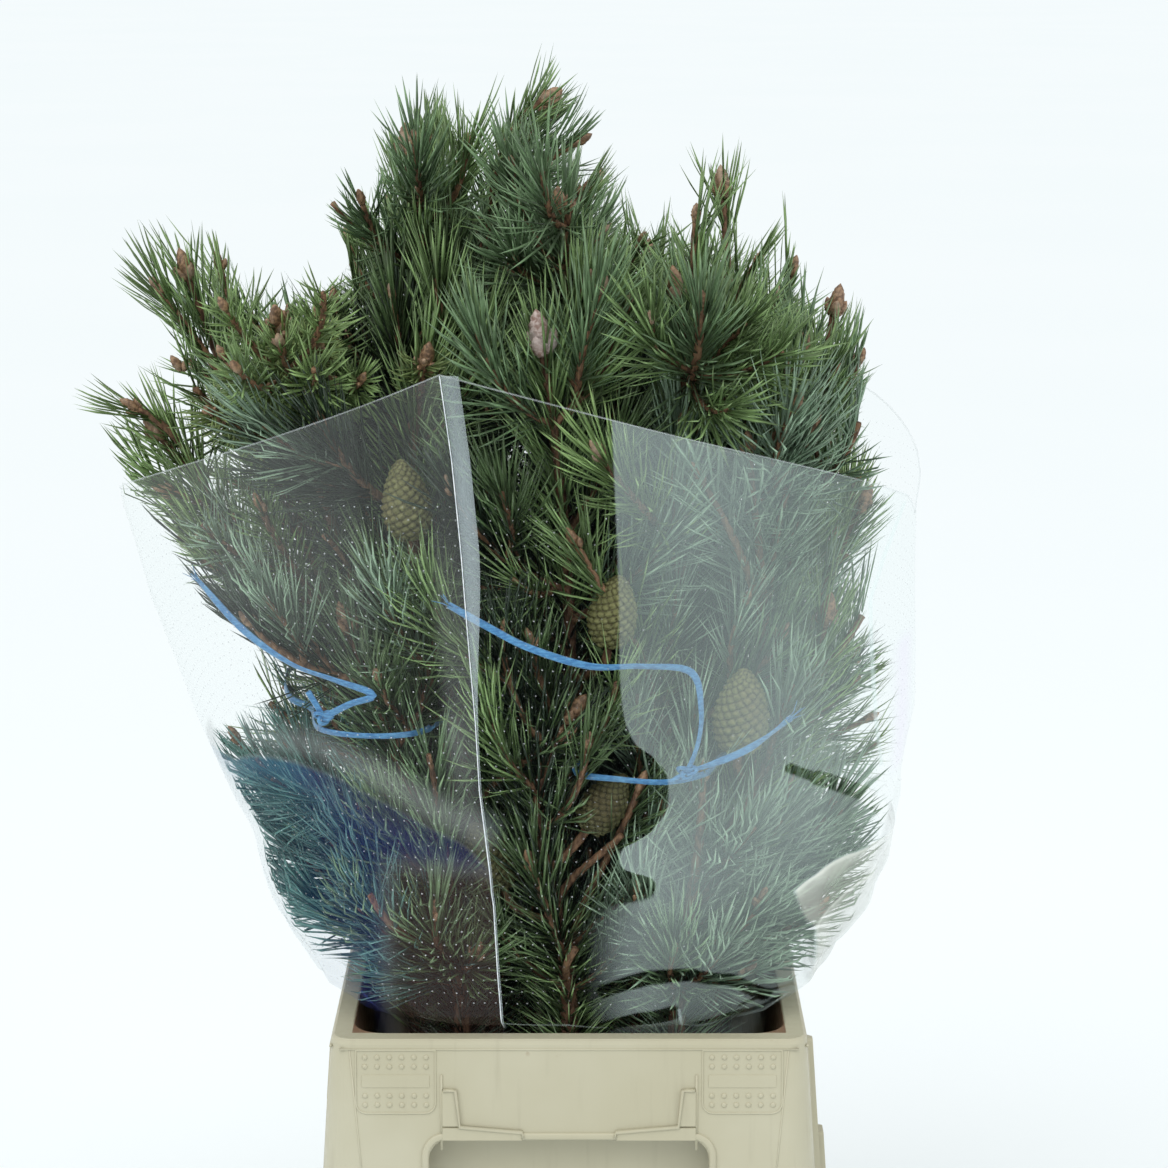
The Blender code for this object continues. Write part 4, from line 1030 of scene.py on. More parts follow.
def far_from_twine(points, twine_cloud, front):
    """True where no point is at the twine, and none of the front ones stands in the camera's way to it."""
    clear = np.ones(len(points), bool)
    box_low = twine_cloud.min(axis=0) - 0.02
    box_high = twine_cloud.max(axis=0) + 0.02
    box_low[1] = -1.0
    close = np.flatnonzero(((points > box_low) & (points < box_high)).all(axis=1))
    for start in range(0, len(close), 4000):
        chosen = close[start:start + 4000]
        spots = points[chosen]
        clear[chosen] &= nearest(spots, twine_cloud) > 0.0016
        clear[chosen] &= nearest(spots, front) > 0.0034
        seen = np.stack([spots[:, 0], spots[:, 2] + SIGHT_DROP * spots[:, 1]], 1)
        lines = np.stack([front[:, 0], front[:, 2] + SIGHT_DROP * front[:, 1]], 1)
        gaps = np.sqrt(((seen[:, None, :] - lines[None, :, :]) ** 2).sum(axis=2))
        near = gaps.argmin(axis=1)
        hides = (gaps.min(axis=1) < 0.0042) & (spots[:, 1] < front[near, 1] + 0.002)
        clear[chosen] &= ~hides
    return clear


def trim_drop(points):
    """How far the needles stop under the skyline at each point."""
    return np.interp(points[:, 0], *zip(*TRIM))


def in_sky(points, loose=0.0):
    """True where a point is seen in a gap of sky, or beyond the foliage's sides by more than a looseness."""
    scale = -CAMERA_PLACE[1] / (points[:, 1] - CAMERA_PLACE[1])
    seen_x = CAMERA_PLACE[0] + (points[:, 0] - CAMERA_PLACE[0]) * scale
    seen_z = CAMERA_PLACE[2] + (points[:, 2] - CAMERA_PLACE[2]) * scale
    hit = seen_x < np.interp(seen_z, *zip(*LEFT_SIDE)) - loose
    hit |= seen_x > np.interp(seen_z, *zip(*RIGHT_SIDE)) + loose
    for x, z, half_x, half_z in SKY_GAPS:
        hit |= ((seen_x - x) / half_x) ** 2 + ((seen_z - z) / half_z) ** 2 < 1.0
    return hit


def hides_bud(points, buds):
    """True where a point stands in the camera's way to one of the large buds."""
    x, y, z = points.T
    hit = np.zeros(len(points), bool)
    for bud in buds:
        aside = np.hypot(x - bud[0], z - bud[2] + SIGHT_DROP * (y - bud[1]))
        hit |= (aside < BUD_CLEAR) & (y < bud[1] + 0.001)
    return hit


def mouth_room(points):
    """How far inside the bucket's mouth each point is; large above the rim."""
    aside = (np.array(MOUTH_HALF) - 0.006 - np.abs(points[:, :2])).min(axis=1)
    return np.where(points[:, 2] > BUCKET_HEIGHT + 0.002, 1.0, aside)


def needle_solids(rows, rings, twine_cloud, front, buds):
    """Points and faces of needles, in blocks, without those that leave the crown or touch what is in it."""
    base, way, bend, across, length = np.split(rows, (3, 6, 9, 12), axis=1)

    def place(share):
        return base + way * length * share + bend * share * share

    def under_skyline():
        return skyline_room(place(1.0)) - trim_drop(place(1.0)) > -slack

    slack = 0.002 + 0.008 * (np.arange(len(rows)) * 0.618 % 1.0)
    for _ in range(2):
        scale = np.where(under_skyline(), 1.0, SHORTER)[:, None]
        length = length * scale
        bend = bend * scale
    keep = under_skyline()
    tip = place(1.0)
    keep &= (mouth_room(tip) > 0.0) & (np.abs(tip[:, 1]) < REACH_DEPTH + 0.042) & (tip[:, 2] < HIGHEST)
    for share in (0.25, 0.5, 0.75, 1.0):
        spots = place(share)
        keep &= (cone_room(spots) > 0.0004) & far_from_twine(spots, twine_cloud, front)
        keep &= ~in_sky(spots, slack) & ~hides_bud(spots, buds)
    across = across[keep]
    up = unit(np.cross(way[keep], across))
    columns = []
    for share, width in rings:
        centre = pull_inside(place(share), NEEDLE_INSET)[keep]
        columns += [centre - across * NEEDLE_HALF * width, centre + across * NEEDLE_HALF * width,
                    centre + up * NEEDLE_DEEP * width]
    columns.append(pull_inside(tip, NEEDLE_INSET)[keep])
    points = np.stack(columns, 1)
    end = len(columns) - 1
    last = end - 3
    pattern = [(0, 2, 1), (last, last + 1, end), (last + 1, last + 2, end), (last + 2, last, end)]
    for low in range(0, last, 3):
        for side in range(3):
            a, b = low + side, low + (side + 1) % 3
            pattern += [(a, b, b + 3), (a, b + 3, a + 3)]
    blocks = []
    for start in range(0, len(points), NEEDLE_BLOCK):
        chosen = points[start:start + NEEDLE_BLOCK]
        offsets = (np.arange(len(chosen)) * (end + 1))[:, None, None]
        blocks.append((chosen.reshape(-1, 3), (np.array(pattern) + offsets).reshape(-1, 3)))
    return blocks


def build_needles(needles, twine_cloud, front, buds, nodes):
    """Needle meshes by tone: bent blunt needles, and plain ones deep inside."""
    finishes = needle_finishes()
    for tone in TONES:
        solids = []
        for kind, rings in NEEDLE_RINGS.items():
            if needles[tone, kind]:
                solids += needle_solids(np.vstack(needles[tone, kind]), rings, twine_cloud, front, buds)
        pieces = [Shape()]
        faces = 0
        for points, tris in solids:
            if faces + len(tris) > MOST_FACES:
                pieces.append(Shape())
                faces = 0
            pieces[-1].add(points, tris=tris)
            faces += len(tris)
        for number, shape in enumerate(pieces):
            if shape.count:
                ride(shape.build(f"needles_{tone}_{number + 1}", finishes[tone]), "needles", *nodes)


# Bucket

def rounded_ring(half_x, half_y, corner, height):
    """Points of a rectangle with round corners, anticlockwise seen from above."""
    points = []
    for quarter, (sx, sy) in enumerate(((1, 1), (-1, 1), (-1, -1), (1, -1))):
        for step in range(CORNER_STEPS + 1):
            angle = math.radians(90.0 * (quarter + step / CORNER_STEPS))
            x = sx * (half_x - corner) + corner * math.cos(angle)
            y = sy * (half_y - corner) + corner * math.sin(angle)
            points.append((x, y, height))
    return points


def inner_half(axis, height):
    return blend(BASE_HALF[axis] - BUCKET_WALL, MOUTH_HALF[axis], height / BUCKET_HEIGHT)


def arch_outline(half, low):
    outline = [(-half, low), (half, low)]
    for side in (1, -1):
        for step in range(7):
            angle = math.radians(15.0 * step if side > 0 else 90.0 + 15.0 * step)
            outline.append((side * (half - ARCH_CORNER) + ARCH_CORNER * math.cos(angle),
                            ARCH_TOP - ARCH_CORNER + ARCH_CORNER * math.sin(angle)))
    return outline


def bucket_shell(finish):
    """The bucket's wall, floor and flared collar, with an arch cut in the foot of each collar side."""
    groove_top = BUCKET_HEIGHT - 0.012
    collar_foot = BUCKET_HEIGHT - COLLAR_DROP
    wall = BUCKET_WALL
    inner = [(inner_half(0, z), inner_half(1, z)) for z in (groove_top, BUCKET_FLOOR)]
    rows = []
    for half, out, corner, height in (
            (BASE_HALF, -0.0015, BODY_CORNER - 0.0015, 0.0),
            (BASE_HALF, 0.0, BODY_CORNER, 0.0015),
            (inner[0], wall, BODY_CORNER, groove_top),
            (RIM_HALF, -wall, RIM_CORNER - 0.002, groove_top),
            (RIM_HALF, COLLAR_FLARE - wall, COLLAR_CORNER - wall, collar_foot),
            (RIM_HALF, COLLAR_FLARE, COLLAR_CORNER, collar_foot),
            (RIM_HALF, 0.0, RIM_CORNER, BUCKET_HEIGHT - 0.003),
            (RIM_HALF, -0.0006, RIM_CORNER - 0.0006, BUCKET_HEIGHT - 0.001),
            (RIM_HALF, -0.002, RIM_CORNER - 0.002, BUCKET_HEIGHT),
            (MOUTH_HALF, 0.0015, BODY_CORNER, BUCKET_HEIGHT),
            (MOUTH_HALF, 0.0004, BODY_CORNER, BUCKET_HEIGHT - 0.0006),
            (MOUTH_HALF, 0.0, BODY_CORNER, BUCKET_HEIGHT - 0.002),
            (inner[1], 0.0, BODY_CORNER, BUCKET_FLOOR)):
        rows.append(rounded_ring(half[0] + out, half[1] + out, corner, height))
    shape = Shape()
    shape.add_tube(rows, (0.0, 0.0, 0.0), (0.0, 0.0, BUCKET_FLOOR))
    shell = shape.build("bucket_shell", finish, smooth=False)
    cut_arches(shell, collar_foot)
    return shell


def cut_arches(shell, collar_foot):
    cutters = []
    for axis in (0, 1):
        across = 1 - axis
        outline = arch_outline(ARCH_HALF[across], collar_foot - 0.01)
        near = inner_half(axis, ARCH_TOP) + BUCKET_WALL + 0.004
        far = RIM_HALF[axis] + COLLAR_FLARE + 0.01
        count = len(outline)
        faces = [(i, (i + 1) % count, count + (i + 1) % count, count + i) for i in range(count)]
        faces += [tuple(range(count)), tuple(range(count, 2 * count))]
        for sign in (1, -1):
            points = [[along, sign * depth, height] if axis == 1 else [sign * depth, along, height]
                      for depth in (near, far) for along, height in outline]
            mesh = bpy.data.meshes.new("arch_cutter")
            mesh.from_pydata(points, [], faces)
            cutter = bpy.data.objects.new("arch_cutter", mesh)
            bpy.context.scene.collection.objects.link(cutter)
            turn_out(mesh)
            cutters.append(cutter)
            cut = shell.modifiers.new("arch", "BOOLEAN")
            cut.operation = "DIFFERENCE"
            cut.object = cutter
            cut.solver = "EXACT"
    bevel = shell.modifiers.new("edge", "BEVEL")
    bevel.width = 0.0007
    bevel.segments = 2
    bevel.limit_method = "ANGLE"
    bevel.angle_limit = math.radians(50.0)
    apply_modifiers(shell)
    for cutter in cutters:
        bpy.data.objects.remove(cutter, do_unlink=True)


def apply_modifiers(thing):
    depsgraph = bpy.context.evaluated_depsgraph_get()
    made = bpy.data.meshes.new_from_object(thing.evaluated_get(depsgraph))
    thing.modifiers.clear()
    old = thing.data
    thing.data = made
    bpy.data.meshes.remove(old)


def on_collar(side, u, v, lift):
    """A place on one of the four collar sides: along it, down from the rim, and out from the wall."""
    axis, sign = ((1, -1), (0, 1), (1, 1), (0, -1))[side]
    out = RIM_HALF[axis] + COLLAR_FLARE * max(v - 0.003, 0.0) / (COLLAR_DROP - 0.003) + lift
    along = u * (1, 1, -1, -1)[side]
    if axis == 1:
        return (along, sign * out, BUCKET_HEIGHT - v)
    return (sign * out, along, BUCKET_HEIGHT - v)


def rib(shape, side, path, width, lift, closed=False):
    """A raised round band along a path on a collar side."""
    spots = np.array(path)
    before = np.roll(spots, 1, axis=0)
    after = np.roll(spots, -1, axis=0)
    if not closed:
        before[0] = spots[0]
        after[-1] = spots[-1]
    ahead = unit(after - before)
    normal = np.stack([-ahead[:, 1], ahead[:, 0]], 1)
    half = [(-0.5, -SUNK), (-0.42, lift * 0.75), (-0.2, lift)]
    section = half + [(-across, out) for across, out in half[::-1]]
    rings = [[on_collar(side, *(spot + sideways * across * width), out) for across, out in section]
             for spot, sideways in zip(spots, normal)]
    shape.add_band(rings, "joined" if closed else "capped")


def rounded_box(u0, u1, v0, v1, corners, steps=4):
    """Outline of a box in collar places; corners are its radii: upper two, then lower two."""
    outline = []
    spots = (((u1, v0), (-1, 1), corners[1]), ((u1, v1), (-1, -1), corners[2]),
             ((u0, v1), (1, -1), corners[3]), ((u0, v0), (1, 1), corners[0]))
    for quarter, ((u, v), (du, dv), radius) in enumerate(spots):
        for step in range(steps + 1):
            angle = math.radians(-90.0 + 90.0 * quarter + 90.0 * step / steps)
            outline.append((u + du * radius + radius * math.cos(angle),
                            v + dv * radius + radius * math.sin(angle)))
    return outline


def pad(shape, side, outline, lift, edge=0.0006):
    """A raised plate with a small sloped edge."""
    spots = np.array(outline)
    centre = spots.mean(axis=0)
    upper = centre + (spots - centre) * (1.0 - 2 * edge / (spots.max(axis=0) - spots.min(axis=0)))
    rings = [[on_collar(side, u, v, out) for u, v in ring] for ring, out in ((spots, -SUNK), (upper, lift))]
    shape.add_tube(rings, on_collar(side, *centre, -SUNK), on_collar(side, *centre, lift))


def stud(shape, side, u, v, radius, lift):
    """A small round bump."""
    rings = [[on_collar(side, u + radius * share * math.cos(turn), v + radius * share * math.sin(turn), out)
              for turn in turns(STUD_SIDES)]
             for share, out in ((1.0, -STUD_SUNK), (0.86, lift * 0.55), (0.5, lift * 0.93))]
    shape.add_tube(rings, on_collar(side, u, v, -STUD_SUNK), on_collar(side, u, v, lift))


def label_field(shape, plates, side, u0, u1):
    """A blank label field: a thin border, rows of bumps and a plain raised strip."""
    border = rounded_box(u0, u1, 0.0062, 0.044, (0.001, 0.001, 0.006, 0.006))
    rib(shape, side, border, 0.0011, 0.0006, closed=True)
    pad(plates, side, rounded_box(u0 + 0.003, u1 - 0.003, 0.0205, 0.029, (0.0008,) * 4, 2), 0.0004)
    for v in (0.0105, 0.016, 0.0335, 0.039):
        for i in range(6):
            stud(shape, side, u0 + (u1 - u0) * (i + 0.75) / 6.5, v, 0.0017, 0.0009)


def lug(shape):
    """An upright ridge with an ear at its foot, near the front of the right side of the collar."""
    for u, v, out in (((-0.167, -0.158), (0.008, 0.119), 0.004), ((-0.158, -0.142), (0.07, 0.119), 0.0075)):
        pad(shape, 1, rounded_box(u[0], u[1], v[0], v[1], (0.0015,) * 4, 2), out, 0.0012)


def collar_details(finish):
    shape = Shape()
    plates = Shape()
    for side in range(4):
        long_side = side in (1, 3)
        half = ARCH_HALF[1] if long_side else ARCH_HALF[0]
        end = 0.178 if long_side else 0.1245
        inner = end - 0.0465
        for sign in (1, -1):
            u0, u1 = sorted((sign * inner, sign * end))
            label_field(shape, plates, side, u0, u1)
            brace = inner - 0.0035
            rib(shape, side, [(sign * brace, 0.021), (sign * brace, 0.066)], 0.0016, 0.0009)
            bracket = [(sign * (brace - 0.001), 0.03), (sign * (brace - 0.008), 0.03),
                       (sign * (brace - 0.0105), 0.052), (sign * (brace - 0.047), 0.0552),
                       (sign * (brace - 0.0475), 0.0585)]
            rib(shape, side, bracket, 0.0024, 0.0026)
            for u, v in (((brace, brace - 0.008, brace - 0.0105, brace), (0.03, 0.03, 0.052, 0.052)),
                         ((brace, brace - 0.0105, brace - 0.047, brace - 0.0475, brace),
                          (0.052, 0.052, 0.0552, 0.0605, 0.0605))):
                pad(plates, side, [(sign * a, b) for a, b in zip(u, v)][::sign], 0.0016)
            rib(shape, side, [(sign * (end + 0.0035), 0.0065), (sign * (end - 0.006), 0.112)], 0.001, 0.0004)
        arch = [(u, BUCKET_HEIGHT - z) for u, z in arch_outline(half + 0.0022, 0.256)]
        path = arch[1:2] + [(u, v - 0.0022) for u, v in arch[2:]] + arch[0:1]
        rib(shape, side, path, 0.0044, 0.0014)
        rim = 0.134 if not long_side else 0.187
        rib(shape, side, [(-rim, 0.0058), (rim, 0.0058)], 0.0012, 0.0005)
    lug(plates)
    return [shape.build("bucket_details", finish, turned=True),
            plates.build("bucket_plates", finish, smooth=False, turned=True)]


def bucket_finish():
    """Cream plastic with pale clouds, worn streaks and stains at the rim, and painted shade: the upper inside
    walls, just under the rim, are dark brown.
    """
    made = Finish("bucket_plastic")
    x, y, height = made.place()
    fine = made.noise(160.0, 5.0)
    streak = made.noise(1.0, 4.0, stretch=(130.0, 130.0, 9.0))
    worn = made.mottled(made.noise(9.0, 4.0), (0.35, 0.7), streak, (0.56, 0.78), 0.35,
                        (0.438, 0.412, 0.292), (0.488, 0.466, 0.348), (0.35, 0.32, 0.23))
    spots = made.times(made.step(made.noise(75.0, 2.0), 0.7, 0.76),
                       made.step(height, BUCKET_HEIGHT - 0.012, BUCKET_HEIGHT - 0.002), 0.8)
    stains_and_inner_shade = made.mix(spots, worn, (0.18, 0.075, 0.03))
    # Painted shade: the upper inside walls, just under the rim, are painted dark brown
    inside = made.step(height, 0.312, 0.318)
    for across, half in zip((x, y), MOUTH_HALF):
        inside = made.times(inside, made.step(made.calc("ABSOLUTE", across), half + 0.0012, half + 0.0004))
    stains_and_inner_shade = made.mix(inside, stains_and_inner_shade, (0.2, 0.12, 0.07))
    made.set(Base_Color=stains_and_inner_shade, Roughness=made.step(fine, 0.3, 0.7, 0.34, 0.52), Specular_IOR_Level=0.45)
    made.bump(made.plus(made.times(fine, 0.25), streak), 0.12, 0.0004)
    return made.material


def build_bucket():
    finish = bucket_finish()
    for piece in [bucket_shell(finish)] + collar_details(finish):
        ride(piece, "bucket", "bucket")


# Film

def line_gap(x, z, line):
    """Distance in X and Z from places to a broken line."""
    gap = np.full(np.shape(x), 1.0)
    for (ax, az), (bx, bz) in zip(line, line[1:]):
        dx, dz = bx - ax, bz - az
        share = np.clip(((x - ax) * dx + (z - az) * dz) / (dx * dx + dz * dz), 0.0, 1.0)
        gap = np.minimum(gap, np.hypot(x - ax - share * dx, z - az - share * dz))
    return gap


def film_relief(angle, height):
    """How far the film stands in or out of its smooth form: slack waves, gathers at the rim, creases."""
    radius, middle = film_radius(angle, height)
    x = middle + radius * np.cos(angle)
    slack = (0.0011 * np.sin(3.1 * angle + 9.0 * height + 0.6) + 0.0008 * np.sin(7.0 * angle - 21.0 * height)
             + 0.0005 * np.sin(13.0 * angle + 37.0 * height + 1.0))
    low = 1.0 - smooth(height, 0.372, 0.48)
    gather = 0.0016 * low * np.sin(31.0 * angle + 2.0 * np.sin(5.0 * angle) + 14.0 * height)
    relief = slack + gather
    front = np.sin(angle) < 0.15
    for line, half, out in CREASES:
        bump = np.exp(-(line_gap(x, height, line) / half) ** 2)
        relief = relief + np.where(front, bump * out, 0.0)
        mirrored = np.exp(-(line_gap(-x, height + 0.012, line) / half) ** 2)
        relief = relief + np.where(~front, mirrored * out, 0.0)
    relief = np.clip(relief, -0.0028, 0.003)
    return relief * smooth(height, 0.366, 0.388)


def film_slack(angle, height):
    """How far the film sags out at its sides, just over the rim."""
    high = np.where(np.cos(angle) > 0.0, 0.5, 0.47)
    rise = smooth(height, 0.3705, 0.381) * (1.0 - smooth(height, 0.405, high))
    return FILM_SAG * np.abs(np.cos(angle)) ** 0.7 * rise


def film_surface(angle, height, lift=0.0):
    radius, middle = film_radius(angle, height)
    radius = radius - 0.0004 + film_relief(angle, height) + film_slack(angle, height) + lift
    return np.stack([middle + radius * np.cos(angle), radius * np.sin(angle), height], -1)


def film_finish(name):
    """Clear film with a veil of painted reflected light in some panels, and a painted blue reflection low on
    the left.
    """
    made = Finish(name)
    x, y, z = made.place()
    plus, minus, times, step = made.plus, made.minus, made.times, made.step
    front = step(y, 0.0, -0.02)

    # Painted reflection: the veil of the right panel and of the left one
    right_edge = made.curve(z, RIGHT_VEIL_EDGE, 0.36, 0.74)
    right = times(step(minus(x, right_edge), -0.0006, step(z, 0.462, 0.446, 0.001, 0.03)), front)
    far_edge = made.curve(z, RIGHT_FAR_EDGE, 0.4, 0.7)
    right = times(right, step(minus(x, far_edge), -0.002, 0.003, 1.0, 0.35))
    seam_edge = made.curve(z, SEAM_LINE, 0.372, 0.763)
    left = times(step(minus(x, seam_edge), 0.0004, -0.001), front)
    left_reflection = times(step(x, -0.1, -0.124), step(z, 0.545, 0.64))
    by_seam = times(step(minus(seam_edge, x), 0.022, 0.012), step(z, 0.5, 0.56))
    left_reflection = made.calc("MAXIMUM", made.calc("MAXIMUM", left_reflection, by_seam), step(z, 0.64, 0.69, 0.0, 0.75))
    right_level = made.curve(z, RIGHT_LEVEL, 0.37, 0.74)
    veil = plus(times(right, right_level), times(left, plus(0.014, times(left_reflection, 0.062))))
    for line, half in CLEAR_SLITS:
        veil = times(veil, minus(1.0, made.line_level(x, z, line, half, 0.002)))
    veil = times(veil, step(made.noise(7.0, 2.0, stretch=(1.0, 1.0, 0.6)), 0.3, 0.7, 0.72, 1.28))

    # Painted reflection: pale folds low on the right
    under_ridge = minus(made.curve(x, FOLD_RIDGE, 0.125, 0.206), z)
    fold = times(step(under_ridge, -0.0008, 0.0012), front,
                 step(minus(x, made.curve(z, FOLD_LEFT, 0.38, 0.47)), -0.001, 0.003))
    beyond = minus(x, made.curve(z, SECOND_FOLD, 0.38, 0.46))
    folds = plus(step(made.noise(26.0, 1.0, stretch=(1.0, 1.0, 0.5)), 0.35, 0.65, 0.1, 0.22),
                 step(under_ridge, 0.014, 0.0, 0.0, 0.22),
                 times(step(beyond, -0.0008, 0.0012), step(beyond, 0.014, 0.002), 0.18))
    veil = plus(veil, times(fold, folds))

    # Painted blue reflection low on the left, darkest in a band along its top, and a dark brown tint there
    below = minus(made.curve(x, BLUE_TOP, -0.2, -0.04), z)
    brown = times(step(x, -0.118, -0.096), step(z, 0.486, 0.462), left)
    blue = times(step(below, -0.002, 0.003), left, step(made.noise(5.0, 1.0), 0.3, 0.55, 0.55, 1.0),
                 minus(1.0, brown))
    band = step(below, 0.024, 0.006)
    under = plus(step(below, 0.06, 0.004, 0.07, 0.13), times(band, 0.16))
    veil = plus(veil, times(blue, under), times(brown, 0.2))

    # Painted highlights: bright lines on folds, and the glint of film seen from the side
    for line, half, soft, strength in GLINTS:
        veil = plus(veil, times(made.line_level(x, z, line, half, soft), front, strength))
    rim_glint = made.node("LayerWeight", {"Blend": 0.12}).outputs["Facing"]
    veil = plus(veil, times(made.calc("POWER", rim_glint, 3.0), 0.14))
    # Painted reflection: a rainbow of iridescence near the right edge
    rainbow = made.line_level(x, z, RAINBOW, 0.014, 0.014)
    veil = plus(made.calc("ADD", veil, 0.0015, clamp=True), times(rainbow, front, 0.2))

    # Colours of the veil and its painted reflections: blue low on the left, navy in its top band, dark brown,
    # pale on the folds, and lavender for the rainbow
    shade = made.mix(step(x, -0.12, -0.175), (0.045, 0.065, 0.4), (0.03, 0.18, 0.33))
    tint = made.mix(left, (0.7, 0.84, 0.83), (0.76, 0.82, 0.8))
    for share, colour in ((blue, shade), (times(band, blue, step(x, -0.165, -0.13)), (0.02, 0.028, 0.11)),
                          (brown, (0.075, 0.045, 0.04)), (fold, (0.78, 0.81, 0.74)),
                          (rainbow, (0.76, 0.62, 0.9))):
        tint = made.mix(share, tint, colour)
    made.set(Base_Color=tint, Roughness=0.16, Specular_IOR_Level=0.7)
    made.bump(made.noise(24.0, 2.0, stretch=(1.0, 1.0, 0.25)), 0.05, 0.001)
    hidden = made.calc("MAXIMUM", made.node("NewGeometry").outputs["Backfacing"],
                       made.node("LightPath").outputs["Is Shadow Ray"])
    return made.show(veil, (hidden, made.node("BsdfTransparent", {"Color": (0.985, 0.992, 0.99)})))


def build_film():
    angle = turns(FILM_COLUMNS)
    top = film_top(angle)
    rows = [np.full(FILM_COLUMNS, z) for z in np.linspace(FILM_FOOT, FILM_FLARE, FILM_FOOT_ROWS)[:-1]]
    rows += [FILM_FLARE + (top - FILM_FLARE) * share for share in np.linspace(0.0, 1.0, FILM_ROWS)]
    heights = np.array(rows)
    angles = np.broadcast_to(angle, heights.shape)
    outer = film_surface(angles, heights)
    inner = film_surface(angles, heights, -SHEET)
    shape = Shape()
    shape.add_band(np.concatenate([outer, inner[::-1]]), "joined")
    ride(shape.build("film_sleeve", film_finish("film")), "film", "sleeve")


def seam_angle(height):
    """Angle round the film of the front seam at a height."""
    x = np.interp(height, *zip(*SEAM_LINE))
    angle = FILM_SEAM
    for _ in range(20):
        radius, middle = film_radius(angle, height)
        angle = -math.acos((x - middle) / radius) if abs(x - middle) < radius else angle
    return angle


def seam_strip(shape, angles, z, start, width, lift, thick):
    """A thin crowned strip that stands on the film along the seam, from a start across its width."""
    radius, _ = film_radius(angles, z)
    crown = 0.0003
    section = ((0.0, lift), (0.5, lift + crown), (1.0, lift), (1.0, lift + thick),
               (0.5, lift + thick + crown), (0.0, lift + thick))
    shape.add_band(np.stack([film_surface(angles + (start + width * share) / radius, z, out)
                             for share, out in section], 1))


def build_seam():
    """The welded seam at the front and back, and its narrow free flange."""
    weld = Shape()
    flange = Shape()
    heights = np.linspace(0.372, 0.7625, 120)
    front = np.array([seam_angle(z) for z in heights])
    back = np.full(len(heights), FILM_SEAM + math.pi)
    for angles in (front, back):
        z = np.minimum(heights, film_top(angles) - 0.0004)
        seam_strip(weld, angles, z, -0.0003, SEAM_WELD, 0.0003, 0.0004)
        seam_strip(flange, angles, z, SEAM_WELD, SEAM_WELD + 0.0092 * smooth(z, 0.545, 0.67), 0.0004, 0.0003)
    bright = Finish("film_weld")
    dash = bright.step(bright.noise(1.0, 2.0, stretch=(20.0, 20.0, 260.0)), 0.35, 0.65)
    bright.set(Base_Color=bright.mix(dash, (0.86, 0.9, 0.92), (0.6, 0.66, 0.7)), Roughness=0.3,
               Specular_IOR_Level=0.6)
    ride(weld.build("film_weld", bright.material, turned=True), "film", "sleeve")
    veil = Finish("film_flange")
    veil.set(Base_Color=(0.66, 0.77, 0.8), Roughness=0.2, Specular_IOR_Level=0.7)
    veil.show(veil.step(veil.noise(9.0, 1.0), 0.3, 0.7, 0.17, 0.22))
    ride(flange.build("film_flange", veil.material, turned=True), "film", "sleeve")


def build_edges():
    """The film's cut upper edge, which catches the light, as a fine bead."""
    angle = turns(FILM_COLUMNS)
    top = film_top(angle)
    shape = Shape()
    corners = ((0.0003, 0.0003), (0.0003, -0.0006), (-0.0005, -0.0006), (-0.0005, 0.0003))
    shape.add_band(np.stack([film_surface(angle, top + rise, lift) for lift, rise in corners], 1), "joined")
    bead = Finish("film_edge")
    bead.set(Base_Color=(0.8, 0.85, 0.88), Roughness=0.25)
    bead.show(bead.step(bead.noise(20.0, 1.0), 0.3, 0.7, 0.1, 0.15))
    ride(shape.build("film_edge", bead.material, turned=True), "film", "sleeve")


def build_pinholes():
    """Rows of pin-holes, whose rims show as fine white dots."""
    shape = Shape()
    rng = np.random.default_rng(SEED + 5)
    for number, z in enumerate(np.arange(*PINHOLE_ROWS)):
        angle = turns(PINHOLES_ROUND) + (number % 2) * math.pi / PINHOLES_ROUND
        angle = angle + rng.normal(0.0, 0.001, len(angle))
        z = z + rng.normal(0.0, 0.0004, len(angle))
        veiled = (np.sin(angle) < 0) & (np.cos(angle) > 0.12)
        shows = (z < film_top(angle) - 0.004) & ~(veiled & (rng.uniform(0.0, 1.0, len(angle)) < 0.75))
        angle, z = angle[shows], z[shows]
        size = rng.uniform(0.00034, 0.0006, len(angle))
        radius, _ = film_radius(angle, z)
        rings = [film_surface(angle + size * math.cos(turn) / radius, z + size * math.sin(turn), 0.00012)
                 for turn in turns(PINHOLE_SIDES)]
        rings += [film_surface(angle, z, -0.00002), film_surface(angle, z, 0.0003)]
        first = (np.arange(len(angle)) * len(rings))[:, None, None]
        shape.add(np.stack(rings, 1), tris=end_caps(1, PINHOLE_SIDES) + first)
    dots = Finish("film_pinholes")
    dots.set(Base_Color=(0.8, 0.84, 0.86), Roughness=dots.step(dots.noise(90.0), 0.3, 0.7, 0.3, 0.5))
    level = dots.step(dots.place()["X"], -0.06, -0.04, 0.62, 0.4)
    dots.show(dots.times(level, dots.step(dots.noise(30.0), 0.3, 0.7, 0.25, 0.75)))
    ride(shape.build("film_pinholes", dots.material), "film", "sleeve")


# Twine

def spline(points, spacing, closed=False):
    """A smooth path through points, resampled evenly."""
    made = []
    count = len(points)
    for i in range(count if closed else count - 1):
        if closed:
            a, b, c, d = (points[(i + k) % count] for k in (-1, 0, 1, 2))
        else:
            a, b, c, d = (points[min(max(i + k, 0), count - 1)] for k in (-1, 0, 1, 2))
        for step in range(8):
            t = step / 8
            made.append(0.5 * ((2 * b) + (c - a) * t + (2 * a - 5 * b + 4 * c - d) * t * t
                               + (3 * b - a - 3 * c + d) * t ** 3))
    made.append(points[0].copy() if closed else points[-1].copy())
    return resample(made, spacing)


